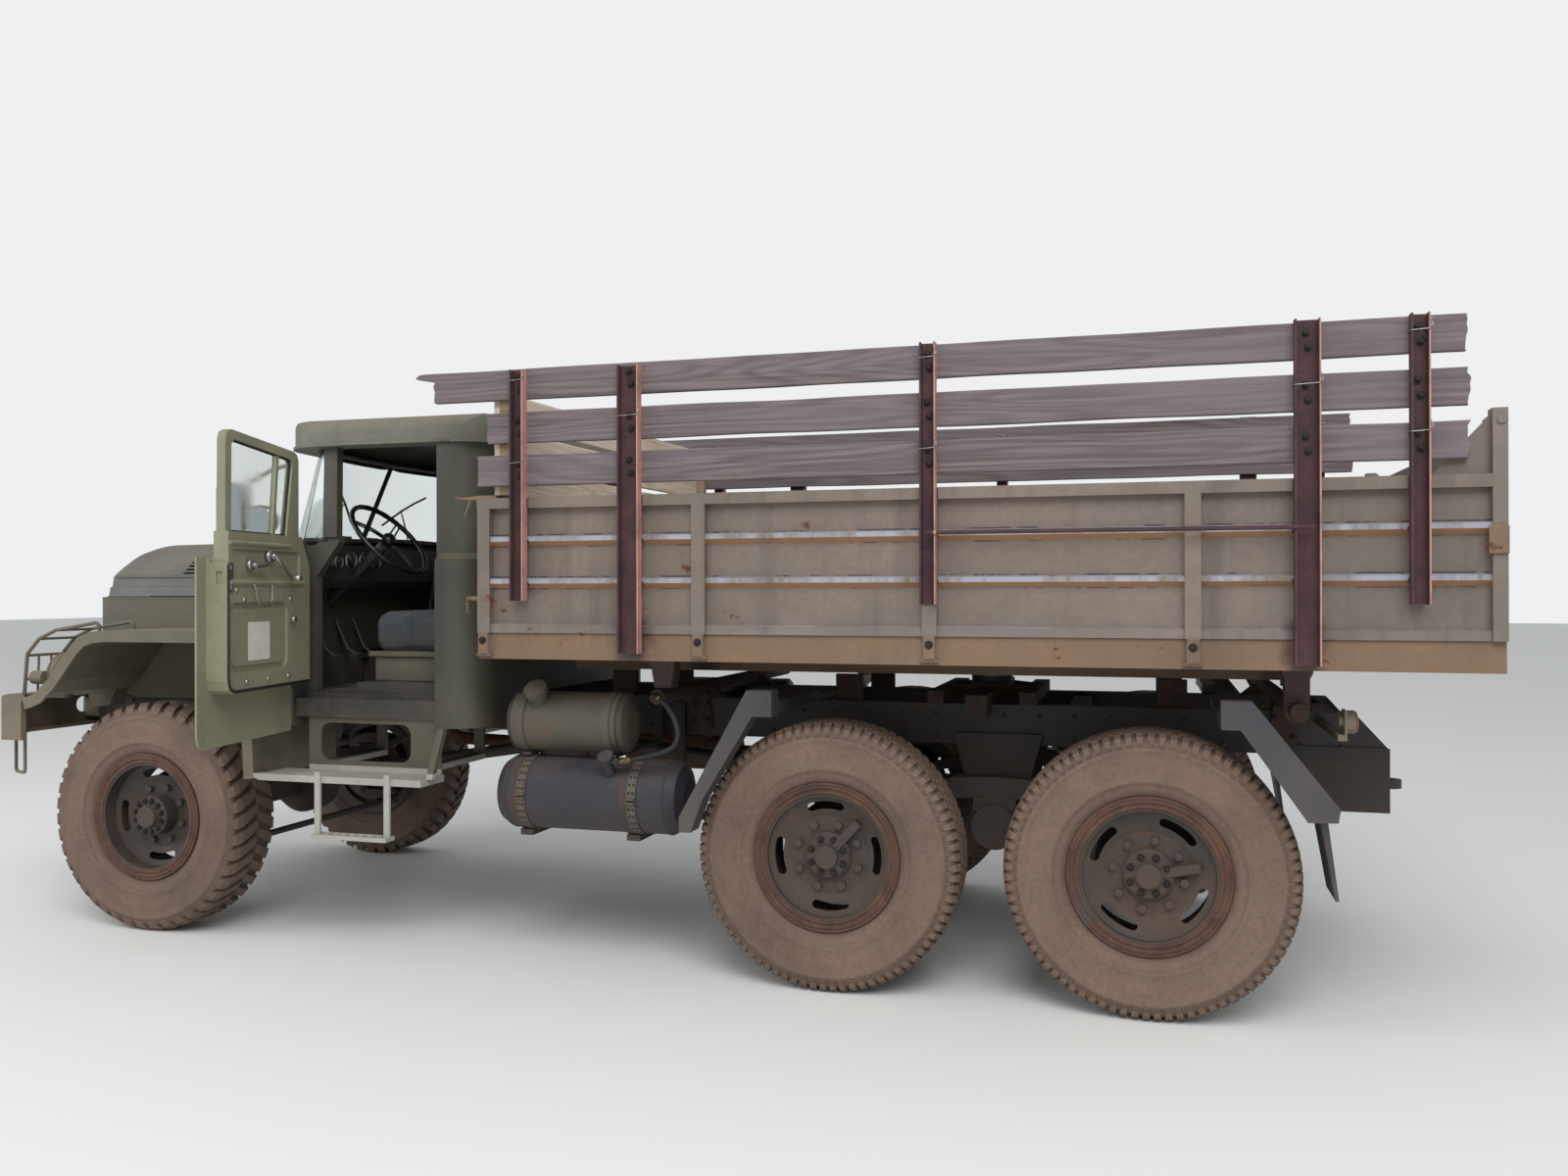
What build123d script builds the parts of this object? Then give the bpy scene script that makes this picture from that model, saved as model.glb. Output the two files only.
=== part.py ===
from build123d import *
import math
import os

# Three-axle military cargo truck with a steel tipping bed and timber side extensions.
# Truck frame while modelling: X forward, Y to the left, Z up, millimetres, zero on the ground
# under the front axle. Every shape is moved by -ORIGIN when it is written.

# Driving dimensions
ORIGIN = (-2338.5, 235.3, 0)
FRONT_AXLE_X = 0
MIDDLE_AXLE_X = -3350
REAR_AXLE_X = -4600
HALF_TRACK = 910
WHEEL_Z = 545
TYRE_RADIUS = 545
TYRE_HALF_WIDTH = 145
RIM_RADIUS = 254
FLANGE_RADIUS = 302
KINGPIN_Y = 700
RAIL_Y = 430
RAIL_BOTTOM = 950
RAIL_TOP = 1125
BUMPER_FRONT_X = 1000
HOOD_HALF_WIDTH = 550
HOOD_FRONT_X = 737
HOOD_REAR_X = -425
HOOD_HINGE = (-440, 1912)
FENDER_TOP_Z = 1440
FENDER_OUTER_Y = 1150
CAB_HALF_WIDTH = 1000
CAB_UPPER_HALF_WIDTH = 955
CAB_REAR_X = -1755
BELT_Z = 1760
SILL_Z = 1130
WINDOW_SILL_Z = 1868
ROOF_Z = 2292
ROOF_TOP_Z = 2467
ROOF_FRONT_X = -595
COWL_CROWN_Z = 1897
DOOR_HINGE = (-800, 1018)
DOOR_OPEN_DEG = 78.4
BED_FRONT_X = -1905
BED_REAR_X = -5750
BED_HALF_WIDTH = 1230
BED_FLOOR_Z = 1445
BED_RAIL_BOTTOM = 1340
WALL_TOP_Z = 2010
EXHAUST_Z = 735
TIP_HINGE = (-5133, 1172)
BOGIE_Z = 620
THROUGH_SHAFT_Z = 720
HOIST_X = -3900
HOIST_PIN_Z = 1150
HOIST_EYE_Z = 1290
GATE_HINGE = (-5730, 2190)
STEERING_HUB = (-982, 500, 1880)
STEERING_LEAN_DEG = 48


def block(x0, x1, y0, y1, z0, z1):
    """Box between two corners."""
    size = (abs(x1 - x0), abs(y1 - y0), abs(z1 - z0))
    return Pos((x0 + x1) / 2, (y0 + y1) / 2, (z0 + z1) / 2) * Box(*size)


def side_plane(y):
    """Sketch plane across the truck: local x is X, local y is Z, facing -Y."""
    return Plane((0, y, 0), x_dir=(1, 0, 0), z_dir=(0, -1, 0))


def end_plane(x):
    """Sketch plane facing forward: local x is Y, local y is Z."""
    return Plane((x, 0, 0), x_dir=(0, 1, 0), z_dir=(1, 0, 0))


def outline(points):
    return make_face(Polyline(*points, close=True))


def side_plate(points, y0, y1):
    """X-Z outline, thick from y0 to y1."""
    return extrude(side_plane(max(y0, y1)) * outline(points), abs(y1 - y0))


def end_plate(points, x0, x1):
    """Y-Z outline, thick from x0 to x1."""
    return extrude(end_plane(min(x0, x1)) * outline(points), abs(x1 - x0))


def flat_plate(points, z0, z1):
    """X-Y outline, thick from z0 to z1."""
    return extrude(Pos(0, 0, min(z0, z1)) * outline(points), abs(z1 - z0))


def strip(points, thickness):
    """Closed outline of a bent strip, its thickness to the right of the run of points."""
    inner = []
    last = len(points) - 1
    for i, (u, v) in enumerate(points):
        before = points[max(i - 1, 0)]
        after = points[min(i + 1, last)]
        d1 = unit(before, (u, v)) if i else unit((u, v), after)
        d2 = unit((u, v), after) if i < last else d1
        n = (d1[1] + d2[1], -d1[0] - d2[0])
        scale = thickness / (n[0] * d1[1] - n[1] * d1[0])
        inner.append((u + n[0] * scale, v + n[1] * scale))
    return list(points) + inner[::-1]


def unit(a, b):
    length = math.dist(a, b)
    return ((b[0] - a[0]) / length, (b[1] - a[1]) / length)


def bar(a, b, radius, hole=0):
    """Round bar or tube from point a to point b."""
    a = Vector(*a)
    b = Vector(*b)
    plane = Plane(a, z_dir=b - a)
    length = (b - a).length
    ring = Circle(radius) - Circle(hole) if hole else Circle(radius)
    return extrude(plane * ring, length)


def rod(points, radius, bend):
    """Round rod along a run of points, with bends of one radius."""
    path = FilletPolyline(*points, radius=bend) if len(points) > 2 else Line(*points)
    start = Plane(Vector(*points[0]), z_dir=Vector(*points[1]) - Vector(*points[0]))
    return sweep(start * Circle(radius), path)


def turned(profile, x, z, y):
    """Solid of revolution about the line along Y through (x, z); profile points are (r, y)."""
    face = Plane((x, y, z), x_dir=(0, 0, 1), z_dir=(-1, 0, 0)) * outline(profile)
    return revolve(face, axis=Axis((x, y, z), (0, 1, 0)))


def mirrored(shape):
    return mirror(shape, about=Plane.XZ)


def both_sides(shape):
    return shape + mirrored(shape)


def joined(shapes):
    shapes = list(shapes)
    whole = shapes[0]
    return whole.fuse(*shapes[1:]) if len(shapes) > 1 else whole


# Wheels: every wheel is modelled at the left side and mirrored for the right one.
# Tread blocks: axle, blocks round the tyre, share of the pitch that is rubber, block depth
TREADS = {"front": (36, 0.56, 22), "rear": (40, 0.62, 14)}


def tread_ring(count, share, depth, y0, y1, phase):
    """Ring of tread blocks between two planes, cut as teeth from one flat outline."""
    pitch = 2 * math.pi / count
    outer = TYRE_RADIUS
    inner = TYRE_RADIUS - depth
    points = []
    for i in range(count):
        start = (i + phase) * pitch
        for radius, turn in ((inner, 0), (outer, 0.03), (outer, share - 0.03), (inner, share)):
            angle = start + turn * pitch
            points.append((radius * math.cos(angle), radius * math.sin(angle)))
    core = TYRE_RADIUS - 60
    face = outline(points) - Circle(core)
    plane = Plane((0, y1, 0), x_dir=(1, 0, 0), z_dir=(0, -1, 0))
    return extrude(plane * face, y1 - y0)


def tyre(kind):
    """Tyre with its blocks: sidewalls bulge past the rim flanges, shoulders are square."""
    count, share, depth = TREADS[kind]
    crown = TYRE_RADIUS - depth
    w = TYRE_HALF_WIDTH
    profile = [(RIM_RADIUS + 2, -104), (RIM_RADIUS + 2, 104), (FLANGE_RADIUS, 108),
               (345, w - 10), (405, w), (470, w - 4), (crown, w - 25),
               (crown, 25 - w), (470, 4 - w), (405, -w), (345, 10 - w), (FLANGE_RADIUS, -108)]
    body = turned(profile, 0, 0, 0)
    outer_half = tread_ring(count, share, depth, 8, w - 25, 0)
    inner_half = tread_ring(count, share, depth, 25 - w, -8, 0.5)
    return body + outer_half + inner_half


# Rim profile (radius, offset outward): drop-free steel rim with two flanges, 8 thick
RIM_PROFILE = [(RIM_RADIUS, -106), (FLANGE_RADIUS - 4, -110), (FLANGE_RADIUS, -118),
               (FLANGE_RADIUS - 8, -122), (RIM_RADIUS - 8, -116), (RIM_RADIUS - 8, 116),
               (FLANGE_RADIUS - 8, 122), (FLANGE_RADIUS, 118), (FLANGE_RADIUS - 4, 110),
               (RIM_RADIUS, 106)]


def rim(kind):
    """Steel rim with its dished disc, four kidney slots, hub, nuts and tyre-inflation bar."""
    ring = turned(RIM_PROFILE, 0, 0, 0)
    dish = 60 if kind == "rear" else 20
    disc_profile = [(95, dish - 10), (165, dish - 10), (RIM_RADIUS - 6, dish + 20),
                    (RIM_RADIUS - 6, dish + 30), (160, dish), (95, dish)]
    disc = turned(disc_profile, 0, 0, 0)
    slot_plane = Plane((0, dish + 60, 0), x_dir=(1, 0, 0), z_dir=(0, -1, 0))
    slot = SlotArc(CenterArc((0, 0), 206, 28, 34), 34)
    slots = [extrude(slot_plane * Rot(0, 0, 90 * i) * slot, 120) for i in range(4)]
    disc = disc - slots
    hub_out = dish + (30 if kind == "rear" else 85)
    hub_profile = [(0, -75), (88, -75), (96, dish - 10), (96, hub_out - 12), (84, hub_out), (0, hub_out)]
    hub = turned(hub_profile, 0, 0, 0)
    pitch_radius = 132.5
    nuts = []
    for i in range(8):
        angle = math.radians(45 * i + 22.5)
        x = pitch_radius * math.cos(angle)
        z = pitch_radius * math.sin(angle)
        nut = extrude(Plane((x, dish + 20, z), x_dir=(1, 0, 0), z_dir=(0, -1, 0))
                      * RegularPolygon(17, 6), 22)
        nuts.append(nut)
    whole = ring + disc + hub + nuts
    if kind == "rear":
        cap = turned([(0, hub_out - 2), (46, hub_out - 2), (46, hub_out + 22), (0, hub_out + 22)], 0, 0, 0)
        cover = block(0, 190, hub_out - 20, hub_out + 6, -17, 17)
        whole = whole + cap + cover
    else:
        cap = turned([(0, hub_out - 2), (58, hub_out - 2), (50, hub_out + 20), (0, hub_out + 20)], 0, 0, 0)
        whole = whole + cap
    return whole


# Axle, longitudinal place, tyre kind, turn of the inflation bar on the left and right wheel
WHEELS = (("front", FRONT_AXLE_X, "front", 40, 150), ("middle", MIDDLE_AXLE_X, "rear", 132, 200),
          ("rear", REAR_AXLE_X, "rear", 168, 95))


def placed_wheel(shape, x, side, turn):
    """Wheel piece turned about its axle and put at its place; side is 1 left, -1 right."""
    shape = Rot(0, -turn, 0) * shape
    if side < 0:
        shape = mirrored(shape)
    return Pos(x, side * HALF_TRACK, WHEEL_Z) * shape


def wheel_nodes():
    nodes = {}
    tyres = {kind: tyre(kind) for kind in TREADS}
    rims = {kind: rim(kind) for kind in TREADS}
    for name, x, kind, left_turn, right_turn in WHEELS:
        for side, word, turn in ((1, "left", left_turn), (-1, "right", right_turn)):
            nodes[f"{name}_{word}_tyre"] = placed_wheel(tyres[kind], x, side, turn)
            nodes[f"{name}_{word}_rim"] = placed_wheel(rims[kind], x, side, turn)
    return nodes


# Chassis
def rail():
    """Left channel rail: web outward, flanges inward, tapered front and rear ends."""
    web = [(-5530, 950), (-5530, 978), (-5400, RAIL_TOP), (-700, RAIL_TOP), (-300, 1065), (880, 1065),
           (880, 925), (-300, 925), (-700, RAIL_BOTTOM), (-5400, RAIL_BOTTOM)]
    solid = side_plate(web, RAIL_Y - 70, RAIL_Y)
    inset = [(-5600, 958), (-5530, 966), (-5402, RAIL_TOP - 8), (-702, RAIL_TOP - 8), (-302, 1057), (960, 1057),
             (960, 933), (-302, 933), (-702, RAIL_BOTTOM + 8)]
    return solid - side_plate(inset, RAIL_Y - 80, RAIL_Y - 8)


# Cross members: place, bottom, top (channels, 80 wide)
CROSS_MEMBERS = ((800, 940, 1050), (-1250, 965, 1110), (-1500, 965, 1110), (-2500, 965, 1110),
                 (-3080, 965, 1110), (-4300, 965, 1110), (-5330, 965, 1100))


def frame():
    rails = both_sides(rail())
    members = []
    for x, bottom, top in CROSS_MEMBERS:
        channel = block(x - 40, x + 40, -RAIL_Y + 7, RAIL_Y - 7, bottom, top)
        hollow = block(x - 32, x + 50, -RAIL_Y - 10, RAIL_Y + 10, bottom + 8, top - 8)
        members.append(channel - hollow)
    rear_plate = side_plate([(-5530, 726), (-5530, 985), (-5170, 985), (-5170, 950), (-5300, 726)],
                            RAIL_Y, RAIL_Y + 8)
    rear_beam = block(-5530, -5490, -RAIL_Y - 4, RAIL_Y + 4, 730, 840)
    tow_stem = bar((-5480, 0, 785), (-5562, 0, 785), 26)
    tow_plate = block(-5545, -5525, -90, 90, 725, 845)
    eye = Pos(-5600, 0, 785) * (Cylinder(50, 36) - Cylinder(22, 60))
    shaft_way = bar((-1085, 0, 1010), (-1635, 0, 985), 75)
    whole = joined([rails, *members, both_sides(rear_plate), rear_beam, tow_stem, tow_plate, eye])
    return whole - shaft_way


def bumper():
    """Steel channel bumper, its ends swept back, with tow hooks and rod footholds."""
    face = [(745, -1150), (955, -960), (BUMPER_FRONT_X, -880), (BUMPER_FRONT_X, 880), (955, 960), (745, 1150),
            (625, 1150), (625, 1120), (880, 900), (905, 840), (905, -840), (880, -900), (625, -1120),
            (625, -1150)]
    solid = flat_plate(face, 905, 1100)
    cut = [(600, -1112), (884, -890), (BUMPER_FRONT_X - 12, -868), (BUMPER_FRONT_X - 12, 868), (884, 890),
           (600, 1112)]
    solid = solid - flat_plate(cut, 917, 1088)
    holes = [bar((900, side * 430, 1010), (1100, side * 430, 1010), 42) for side in (1, -1)]
    solid = solid - holes
    brackets = both_sides(block(860, 992, 352, RAIL_Y - 8, 945, 1045))
    hooks = both_sides(tow_hook())
    loop = [(820, 1000, 930), (820, 1000, 730), (720, 1040, 730), (720, 1040, 930)]
    return joined([solid, brackets, hooks, both_sides(rod(loop, 8, 20))])


def tow_hook():
    """Forged hook in front of the bumper."""
    shank = block(985, 1030, 300, 330, 985, 1035)
    ring = Plane((1030, 330, 1010), x_dir=(1, 0, 0), z_dir=(0, -1, 0)) * (Circle(45) - Circle(20))
    hook = extrude(ring, 30) - block(1030, 1100, 290, 340, 1010, 1040)
    return shank + hook


def engine():
    """Eight-cylinder engine as one plain block with its sump."""
    core = block(-420, 470, -300, 300, 1080, 1500)
    sump = block(-300, 250, -170, 170, 900, 1080)
    return core + sump


def radiator():
    core = block(560, 640, -330, 330, 1075, 1560)
    tank = block(550, 650, -310, 310, 1560, 1600)
    return core + tank


def gearbox():
    """Gearbox behind the engine and transfer case further back, both hung from cross members."""
    bell = Plane((-420, 0, 1080), x_dir=(0, 1, 0), z_dir=(-1, 0, 0))
    housing = loft([bell * Circle(225), bell.offset(260) * Circle(150)])
    box = block(-1080, -675, -140, 140, 915, 1190)
    case = block(-1960, -1640, -250, 170, 760, 1080)
    arm = block(-1850, -1770, 9 - RAIL_Y, RAIL_Y - 9, 1000, 1040)
    return joined([housing, box, case, arm])


def shaft_with_joints(a, b):
    """Propeller shaft tube between two universal joints."""
    start = Vector(*a)
    way = (Vector(*b) - start).normalized()
    length = (Vector(*b) - start).length
    tube = bar(start + way * 60, start + way * (length - 60), 32)
    ends = [bar(start, start + way * 70, 50), bar(start + way * (length - 70), b, 50)]
    return tube + ends


def drive_shafts():
    through = THROUGH_SHAFT_Z
    runs = (((-1083, 0, 1010), (-1637, 0, 985)), ((-1972, 0, 850), (MIDDLE_AXLE_X + 212, 0, through)),
            ((-1628, -170, 820), (FRONT_AXLE_X - 214, -170, 600)),
            ((MIDDLE_AXLE_X - 202, 0, through), (REAR_AXLE_X + 202, 0, through)))
    return joined(shaft_with_joints(a, b) for a, b in runs)


def axle_housing(x, half_length, offset_y, bowl):
    """Banjo housing: two tapered tubes into a round bowl, with a nose for the shaft."""
    plane = Plane((x, -half_length, WHEEL_Z), x_dir=(1, 0, 0), z_dir=(0, 1, 0))
    tube = extrude(plane * RectangleRounded(120, 130, 30), 2 * half_length)
    bowl_profile = [(0, offset_y - 150), (120, offset_y - 140), (bowl, offset_y - 60), (bowl, offset_y + 60),
                    (120, offset_y + 140), (0, offset_y + 150)]
    centre = turned(bowl_profile, x, WHEEL_Z, 0)
    return tube + centre


def front_axle():
    """Driven steering axle: housing, ball ends and kingpins, spring seats, pinion nose."""
    housing = axle_housing(FRONT_AXLE_X, 600, -170, 170)
    balls = both_sides(Pos(0, KINGPIN_Y, WHEEL_Z) * Sphere(88))
    necks = both_sides(bar((0, 560, WHEEL_Z), (0, KINGPIN_Y - 50, WHEEL_Z), 62))
    pins = both_sides(bar((0, KINGPIN_Y, WHEEL_Z - 135), (0, KINGPIN_Y, WHEEL_Z + 135), 20))
    nose = bar((0, -170, 600), (-200, -170, 600), 62)
    seats = both_sides(block(-70, 70, 385, 475, WHEEL_Z + 40, 634))
    return joined([housing, balls, necks, pins, nose, seats])


def driven_axle(x, through):
    """Rear drive axle with hub flanges, brake drums and the shaft noses."""
    housing = axle_housing(x, 700, 0, 185)
    top = THROUGH_SHAFT_Z
    noses = [bar((x - 60, 0, top), (x + 200, 0, top), 62), block(x - 60, x + 90, -60, 60, 640, top)]
    if through:
        noses.append(bar((x, 0, top), (x - 200, 0, top), 56))
    drums = both_sides(bar((x, 650, WHEEL_Z), (x, 820, WHEEL_Z), 205, 150))
    flanges = both_sides(bar((x, 640, WHEEL_Z), (x, 660, WHEEL_Z), 190))
    stubs = both_sides(bar((x, 640, WHEEL_Z), (x, HALF_TRACK - 79, WHEEL_Z), 60))
    pads = both_sides(block(x - 65, x + 65, 470, 590, WHEEL_Z + 50, WHEEL_Z + 90))
    return joined([housing, *noses, drums, flanges, stubs, pads])


def leaf_pack(x0, x1, y, z_ends, z_middle, leaves, width):
    """Curved leaf spring between two eyes, leaves stacked under (or over) the master leaf."""
    rise = z_middle - z_ends
    toward = 1 if rise > 0 else -1
    middle = (x0 + x1) / 2
    pack = []
    for i in range(leaves):
        share = 1 - 0.8 * i / leaves
        a = middle + (x0 - middle) * share
        b = middle + (x1 - middle) * share
        za = z_middle - rise * share ** 2 + toward * 11 * i
        top = z_middle + toward * 11 * i
        line = ThreePointArc((a, za), (middle, top), (b, za))
        under = ThreePointArc((b, za + 11.2), (middle, top + 11.2), (a, za + 11.2))
        sides = [Line((b, za), (b, za + 11.2)), Line((a, za + 11.2), (a, za))]
        face = make_face([*line.edges(), *sides[0].edges(), *under.edges(), *sides[1].edges()])
        pack.append(extrude(side_plane(y + width / 2) * face, width))
    return joined(pack)


def springs():
    """Front leaf springs with hangers; rear ones upside down on the bogie pivot."""
    front = leaf_pack(-640, 640, RAIL_Y, 850, 690, 6, 75)
    eyes = [bar((640, RAIL_Y - 38, 858), (640, RAIL_Y + 38, 858), 26),
            bar((-640, RAIL_Y - 38, 858), (-640, RAIL_Y + 38, 858), 26)]
    hangers = [side_plate([(590, 930), (690, 930), (665, 840), (615, 840)], RAIL_Y - 52, RAIL_Y - 38),
               side_plate([(590, 930), (690, 930), (665, 840), (615, 840)], RAIL_Y + 38, RAIL_Y + 52),
               block(590, 690, RAIL_Y - 60, RAIL_Y + 52, 918, 932),
               side_plate([(-700, 935), (-580, 935), (-615, 840), (-665, 840)], RAIL_Y - 52, RAIL_Y - 38),
               side_plate([(-700, 935), (-580, 935), (-615, 840), (-665, 840)], RAIL_Y + 38, RAIL_Y + 52),
               block(-700, -580, RAIL_Y - 60, RAIL_Y + 52, 920, 952)]
    clips = [block(-55, 55, RAIL_Y - 46, RAIL_Y + 46, 700, 714)]
    left_front = joined([front, *eyes, *hangers, *clips])
    pivot_x = (MIDDLE_AXLE_X + REAR_AXLE_X) / 2
    rear = leaf_pack(MIDDLE_AXLE_X, REAR_AXLE_X, 530, WHEEL_Z + 92, 740, 8, 90)
    hub = bar((pivot_x, 470, BOGIE_Z), (pivot_x, 600, BOGIE_Z), 95)
    saddle = block(pivot_x - 90, pivot_x + 90, 478, 582, BOGIE_Z + 60, 742)
    trunnion = bar((pivot_x, 0, BOGIE_Z), (pivot_x, 480, BOGIE_Z), 45)
    bracket = side_plate([(pivot_x - 190, 1000), (pivot_x + 190, 1000), (pivot_x + 75, 560),
                          (pivot_x - 75, 560)], RAIL_Y, RAIL_Y + 26)
    left_rear = joined([rear, hub, saddle, trunnion, bracket])
    return both_sides(left_front + left_rear) - frame()


def knuckle():
    """Left steering knuckle: yoke round the ball end, hub stub, brake drum and track arm."""
    shell = Pos(0, KINGPIN_Y, WHEEL_Z) * (Sphere(118) - Sphere(94))
    shell = shell - block(-200, 200, 400, KINGPIN_Y + 2, 300, 800)
    caps = bar((0, KINGPIN_Y, WHEEL_Z - 150), (0, KINGPIN_Y, WHEEL_Z + 150), 44)
    bore = bar((0, KINGPIN_Y, WHEEL_Z - 135.1), (0, KINGPIN_Y, WHEEL_Z + 135.1), 20.05)
    inner = Pos(0, KINGPIN_Y, WHEEL_Z) * Sphere(94)
    stub = bar((0, KINGPIN_Y + 90, WHEEL_Z), (0, HALF_TRACK - 79, WHEEL_Z), 60)
    backplate = bar((0, KINGPIN_Y + 70, WHEEL_Z), (0, KINGPIN_Y + 82, WHEEL_Z), 205)
    drum = bar((0, KINGPIN_Y + 70, WHEEL_Z), (0, 826, WHEEL_Z), 205, 196)
    arm = flat_plate([(20, KINGPIN_Y + 34), (-180, KINGPIN_Y + 22), (-232, KINGPIN_Y + 20),
                      (-232, KINGPIN_Y - 20), (-180, KINGPIN_Y - 24), (20, KINGPIN_Y - 34)],
                     WHEEL_Z - 150, WHEEL_Z - 126)
    eye_bore = bar((-208, KINGPIN_Y, 300), (-208, KINGPIN_Y, 500), 9)
    return joined([shell, caps, stub, backplate, drum, arm]) - bore - inner - eye_bore


def tie_rod():
    """Track rod behind the front axle, under the arm eyes."""
    z = WHEEL_Z - 182
    y = KINGPIN_Y
    tube = bar((-208, -y + 30, z), (-208, y - 30, z), 17)
    ends = both_sides(bar((-208, y, z - 24), (-208, y, z + 22), 26))
    studs = both_sides(bar((-208, y, z), (-208, y, z + 68), 8))
    return joined([tube, ends, studs])


# Bumper-to-cab body panels
FENDER_LINE = [(618, 1108), (588, 1117), (540, 1136), (465, 1201), (390, 1292), (330, 1365), (275, 1412),
               (205, 1434), (120, FENDER_TOP_Z), (-430, FENDER_TOP_Z), (-520, 1412), (-600, 1330), (-665, 1180),
               (-700, 960), (-710, 775)]


def fender():
    """Left front fender: bent sheet with a rolled edge, inner wing, side panel and its ledge."""
    sheet = side_plate(strip(FENDER_LINE, -10), HOOD_HALF_WIDTH - 2, FENDER_OUTER_Y)
    lip = side_plate(strip(FENDER_LINE, -54), FENDER_OUTER_Y - 16, FENDER_OUTER_Y)
    lip = fillet(lip.edges().filter_by(lambda e: abs(e.center().Y - FENDER_OUTER_Y) < 0.1
                                       and e.length > 80 and e.center().Z > 1425), 12)
    wing = side_plate([(690, 1110), (690, 1432), (-600, 1432), (-600, 1125), (-300, 1070),
                       (500, 1070)], HOOD_HALF_WIDTH - 2, HOOD_HALF_WIDTH + 8)
    panel = side_plate([(735, 1090), (735, 1592), (-600, 1592), (-600, 1420), (640, 1420), (640, 1090)],
                       HOOD_HALF_WIDTH - 12, HOOD_HALF_WIDTH - 2)
    ledge = block(-600, 735, HOOD_HALF_WIDTH - 42, HOOD_HALF_WIDTH, 1584, 1594)
    nose = side_plate([(600, 1030), (560, 1118), (640, 1118), (735, 1118), (735, 1015)],
                      HOOD_HALF_WIDTH - 2, 640)
    stay = side_plate([(-600, 1325), (-665, 1180), (-610, 1180), (-565, 1310)], 620, FENDER_OUTER_Y - 14)
    whole = joined([sheet, lip, wing, panel, ledge, nose, stay])
    return whole - flat_plate(cowl_line(-3), 990, 1900)


def grille():
    """Front panel between the fenders: upright slots, a surround and lower apron."""
    panel = block(700, 745, -530, 530, 1080, 1592)
    cuts = []
    for i in range(-6, 7):
        y = i * 62
        cuts.append(block(680, 760, y - 19, y + 19, 1150, 1500))
    hollow = block(690, 735, -518, 518, 1092, 1580)
    sides = both_sides(block(700, 745, 530, HOOD_HALF_WIDTH - 12, 1092, 1575))
    foot = both_sides(block(700, 740, 362, RAIL_Y, 1065, 1082))
    return joined([panel - cuts - hollow, sides, foot])


def headlamps():
    """Round lamps in front of the fenders, indicators on top and the rod guards before them."""
    lamp_profile = [(0, 0), (60, 0), (112, 60), (112, 82), (96, 92), (0, 100)]
    face = Plane((640, 790, 1200), x_dir=(0, 0, 1), z_dir=(0, 1, 0)) * outline(lamp_profile)
    lamp = revolve(face, axis=Axis((640, 790, 1200), (1, 0, 0)))
    stand = block(545, 650, 770, 810, 1122, 1215)
    guard_path = [(878, 900, 1101), (858, 900, 1309), (783, 900, 1385), (677, 900, 1430), (408, 900, 1471),
                  (390, 900, 1290)]
    guard = rod(guard_path, 9, 25) + rod([(x, 680, z) for x, y, z in guard_path], 9, 25)
    rungs = [bar((x, 680, z), (x, 900, z), 7) for x, z in ((869, 1180), (859, 1300), (783, 1385), (677, 1430))]
    bars = [bar((868, y, 1098), (859, y, 1300), 6) for y in (755, 830)]
    indicator = bar((740, 900, 1190), (812, 900, 1190), 34)
    foot = block(580, 745, 885, 915, 1092, 1120) + block(715, 745, 885, 915, 1092, 1175)
    return both_sides(joined([lamp, stand, guard, *rungs, *bars, indicator, foot]))


# Hood sections: place along X, lift of the dome, inset of the whole outline
HOOD_SECTIONS = ((HOOD_REAR_X, 16, 0), (690, 0, 0), (HOOD_FRONT_X, 0, 26))
LOUVRE_HEIGHTS = (1724, 1743, 1762, 1781, 1800)
LOUVRE_RUNS = ((-400, -75), (-45, 275))


def hood_outline(lift, inset, base):
    """Half of the hood's section: stepped side, then a high dome of two arcs; points and arc middles."""
    i = inset
    walls = [(530 - i, base), (520 - i, 1647), (506 - i, 1650), (498 - i, 1702)]
    flank = (402 - 0.7 * i, 1784 + 0.6 * lift - 0.7 * i)
    crown = (270 - 0.4 * i, 1843 + lift - 0.9 * i)
    return walls, flank, crown, (0, 1888 + lift - i)


def hood_section(x, lift, inset, base):
    walls, flank, crown, top = hood_outline(lift, inset, base)
    left = [(-u, v) for u, v in walls]
    lines = [Line(left[0], walls[0])]
    lines += [Line(a, b) for a, b in zip(walls, walls[1:])]
    lines += [ThreePointArc(walls[-1], flank, crown), ThreePointArc(crown, top, (-crown[0], crown[1])),
              ThreePointArc((-crown[0], crown[1]), (-flank[0], flank[1]), left[-1])]
    lines += [Line(b, a) for a, b in zip(left, left[1:])][::-1]
    return end_plane(x) * make_face(lines)


def hood_run(x0, x1, lift, inset, base):
    """Straight length of the hood's section."""
    return extrude(hood_section(x0, lift, inset, base), x1 - x0)


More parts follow.
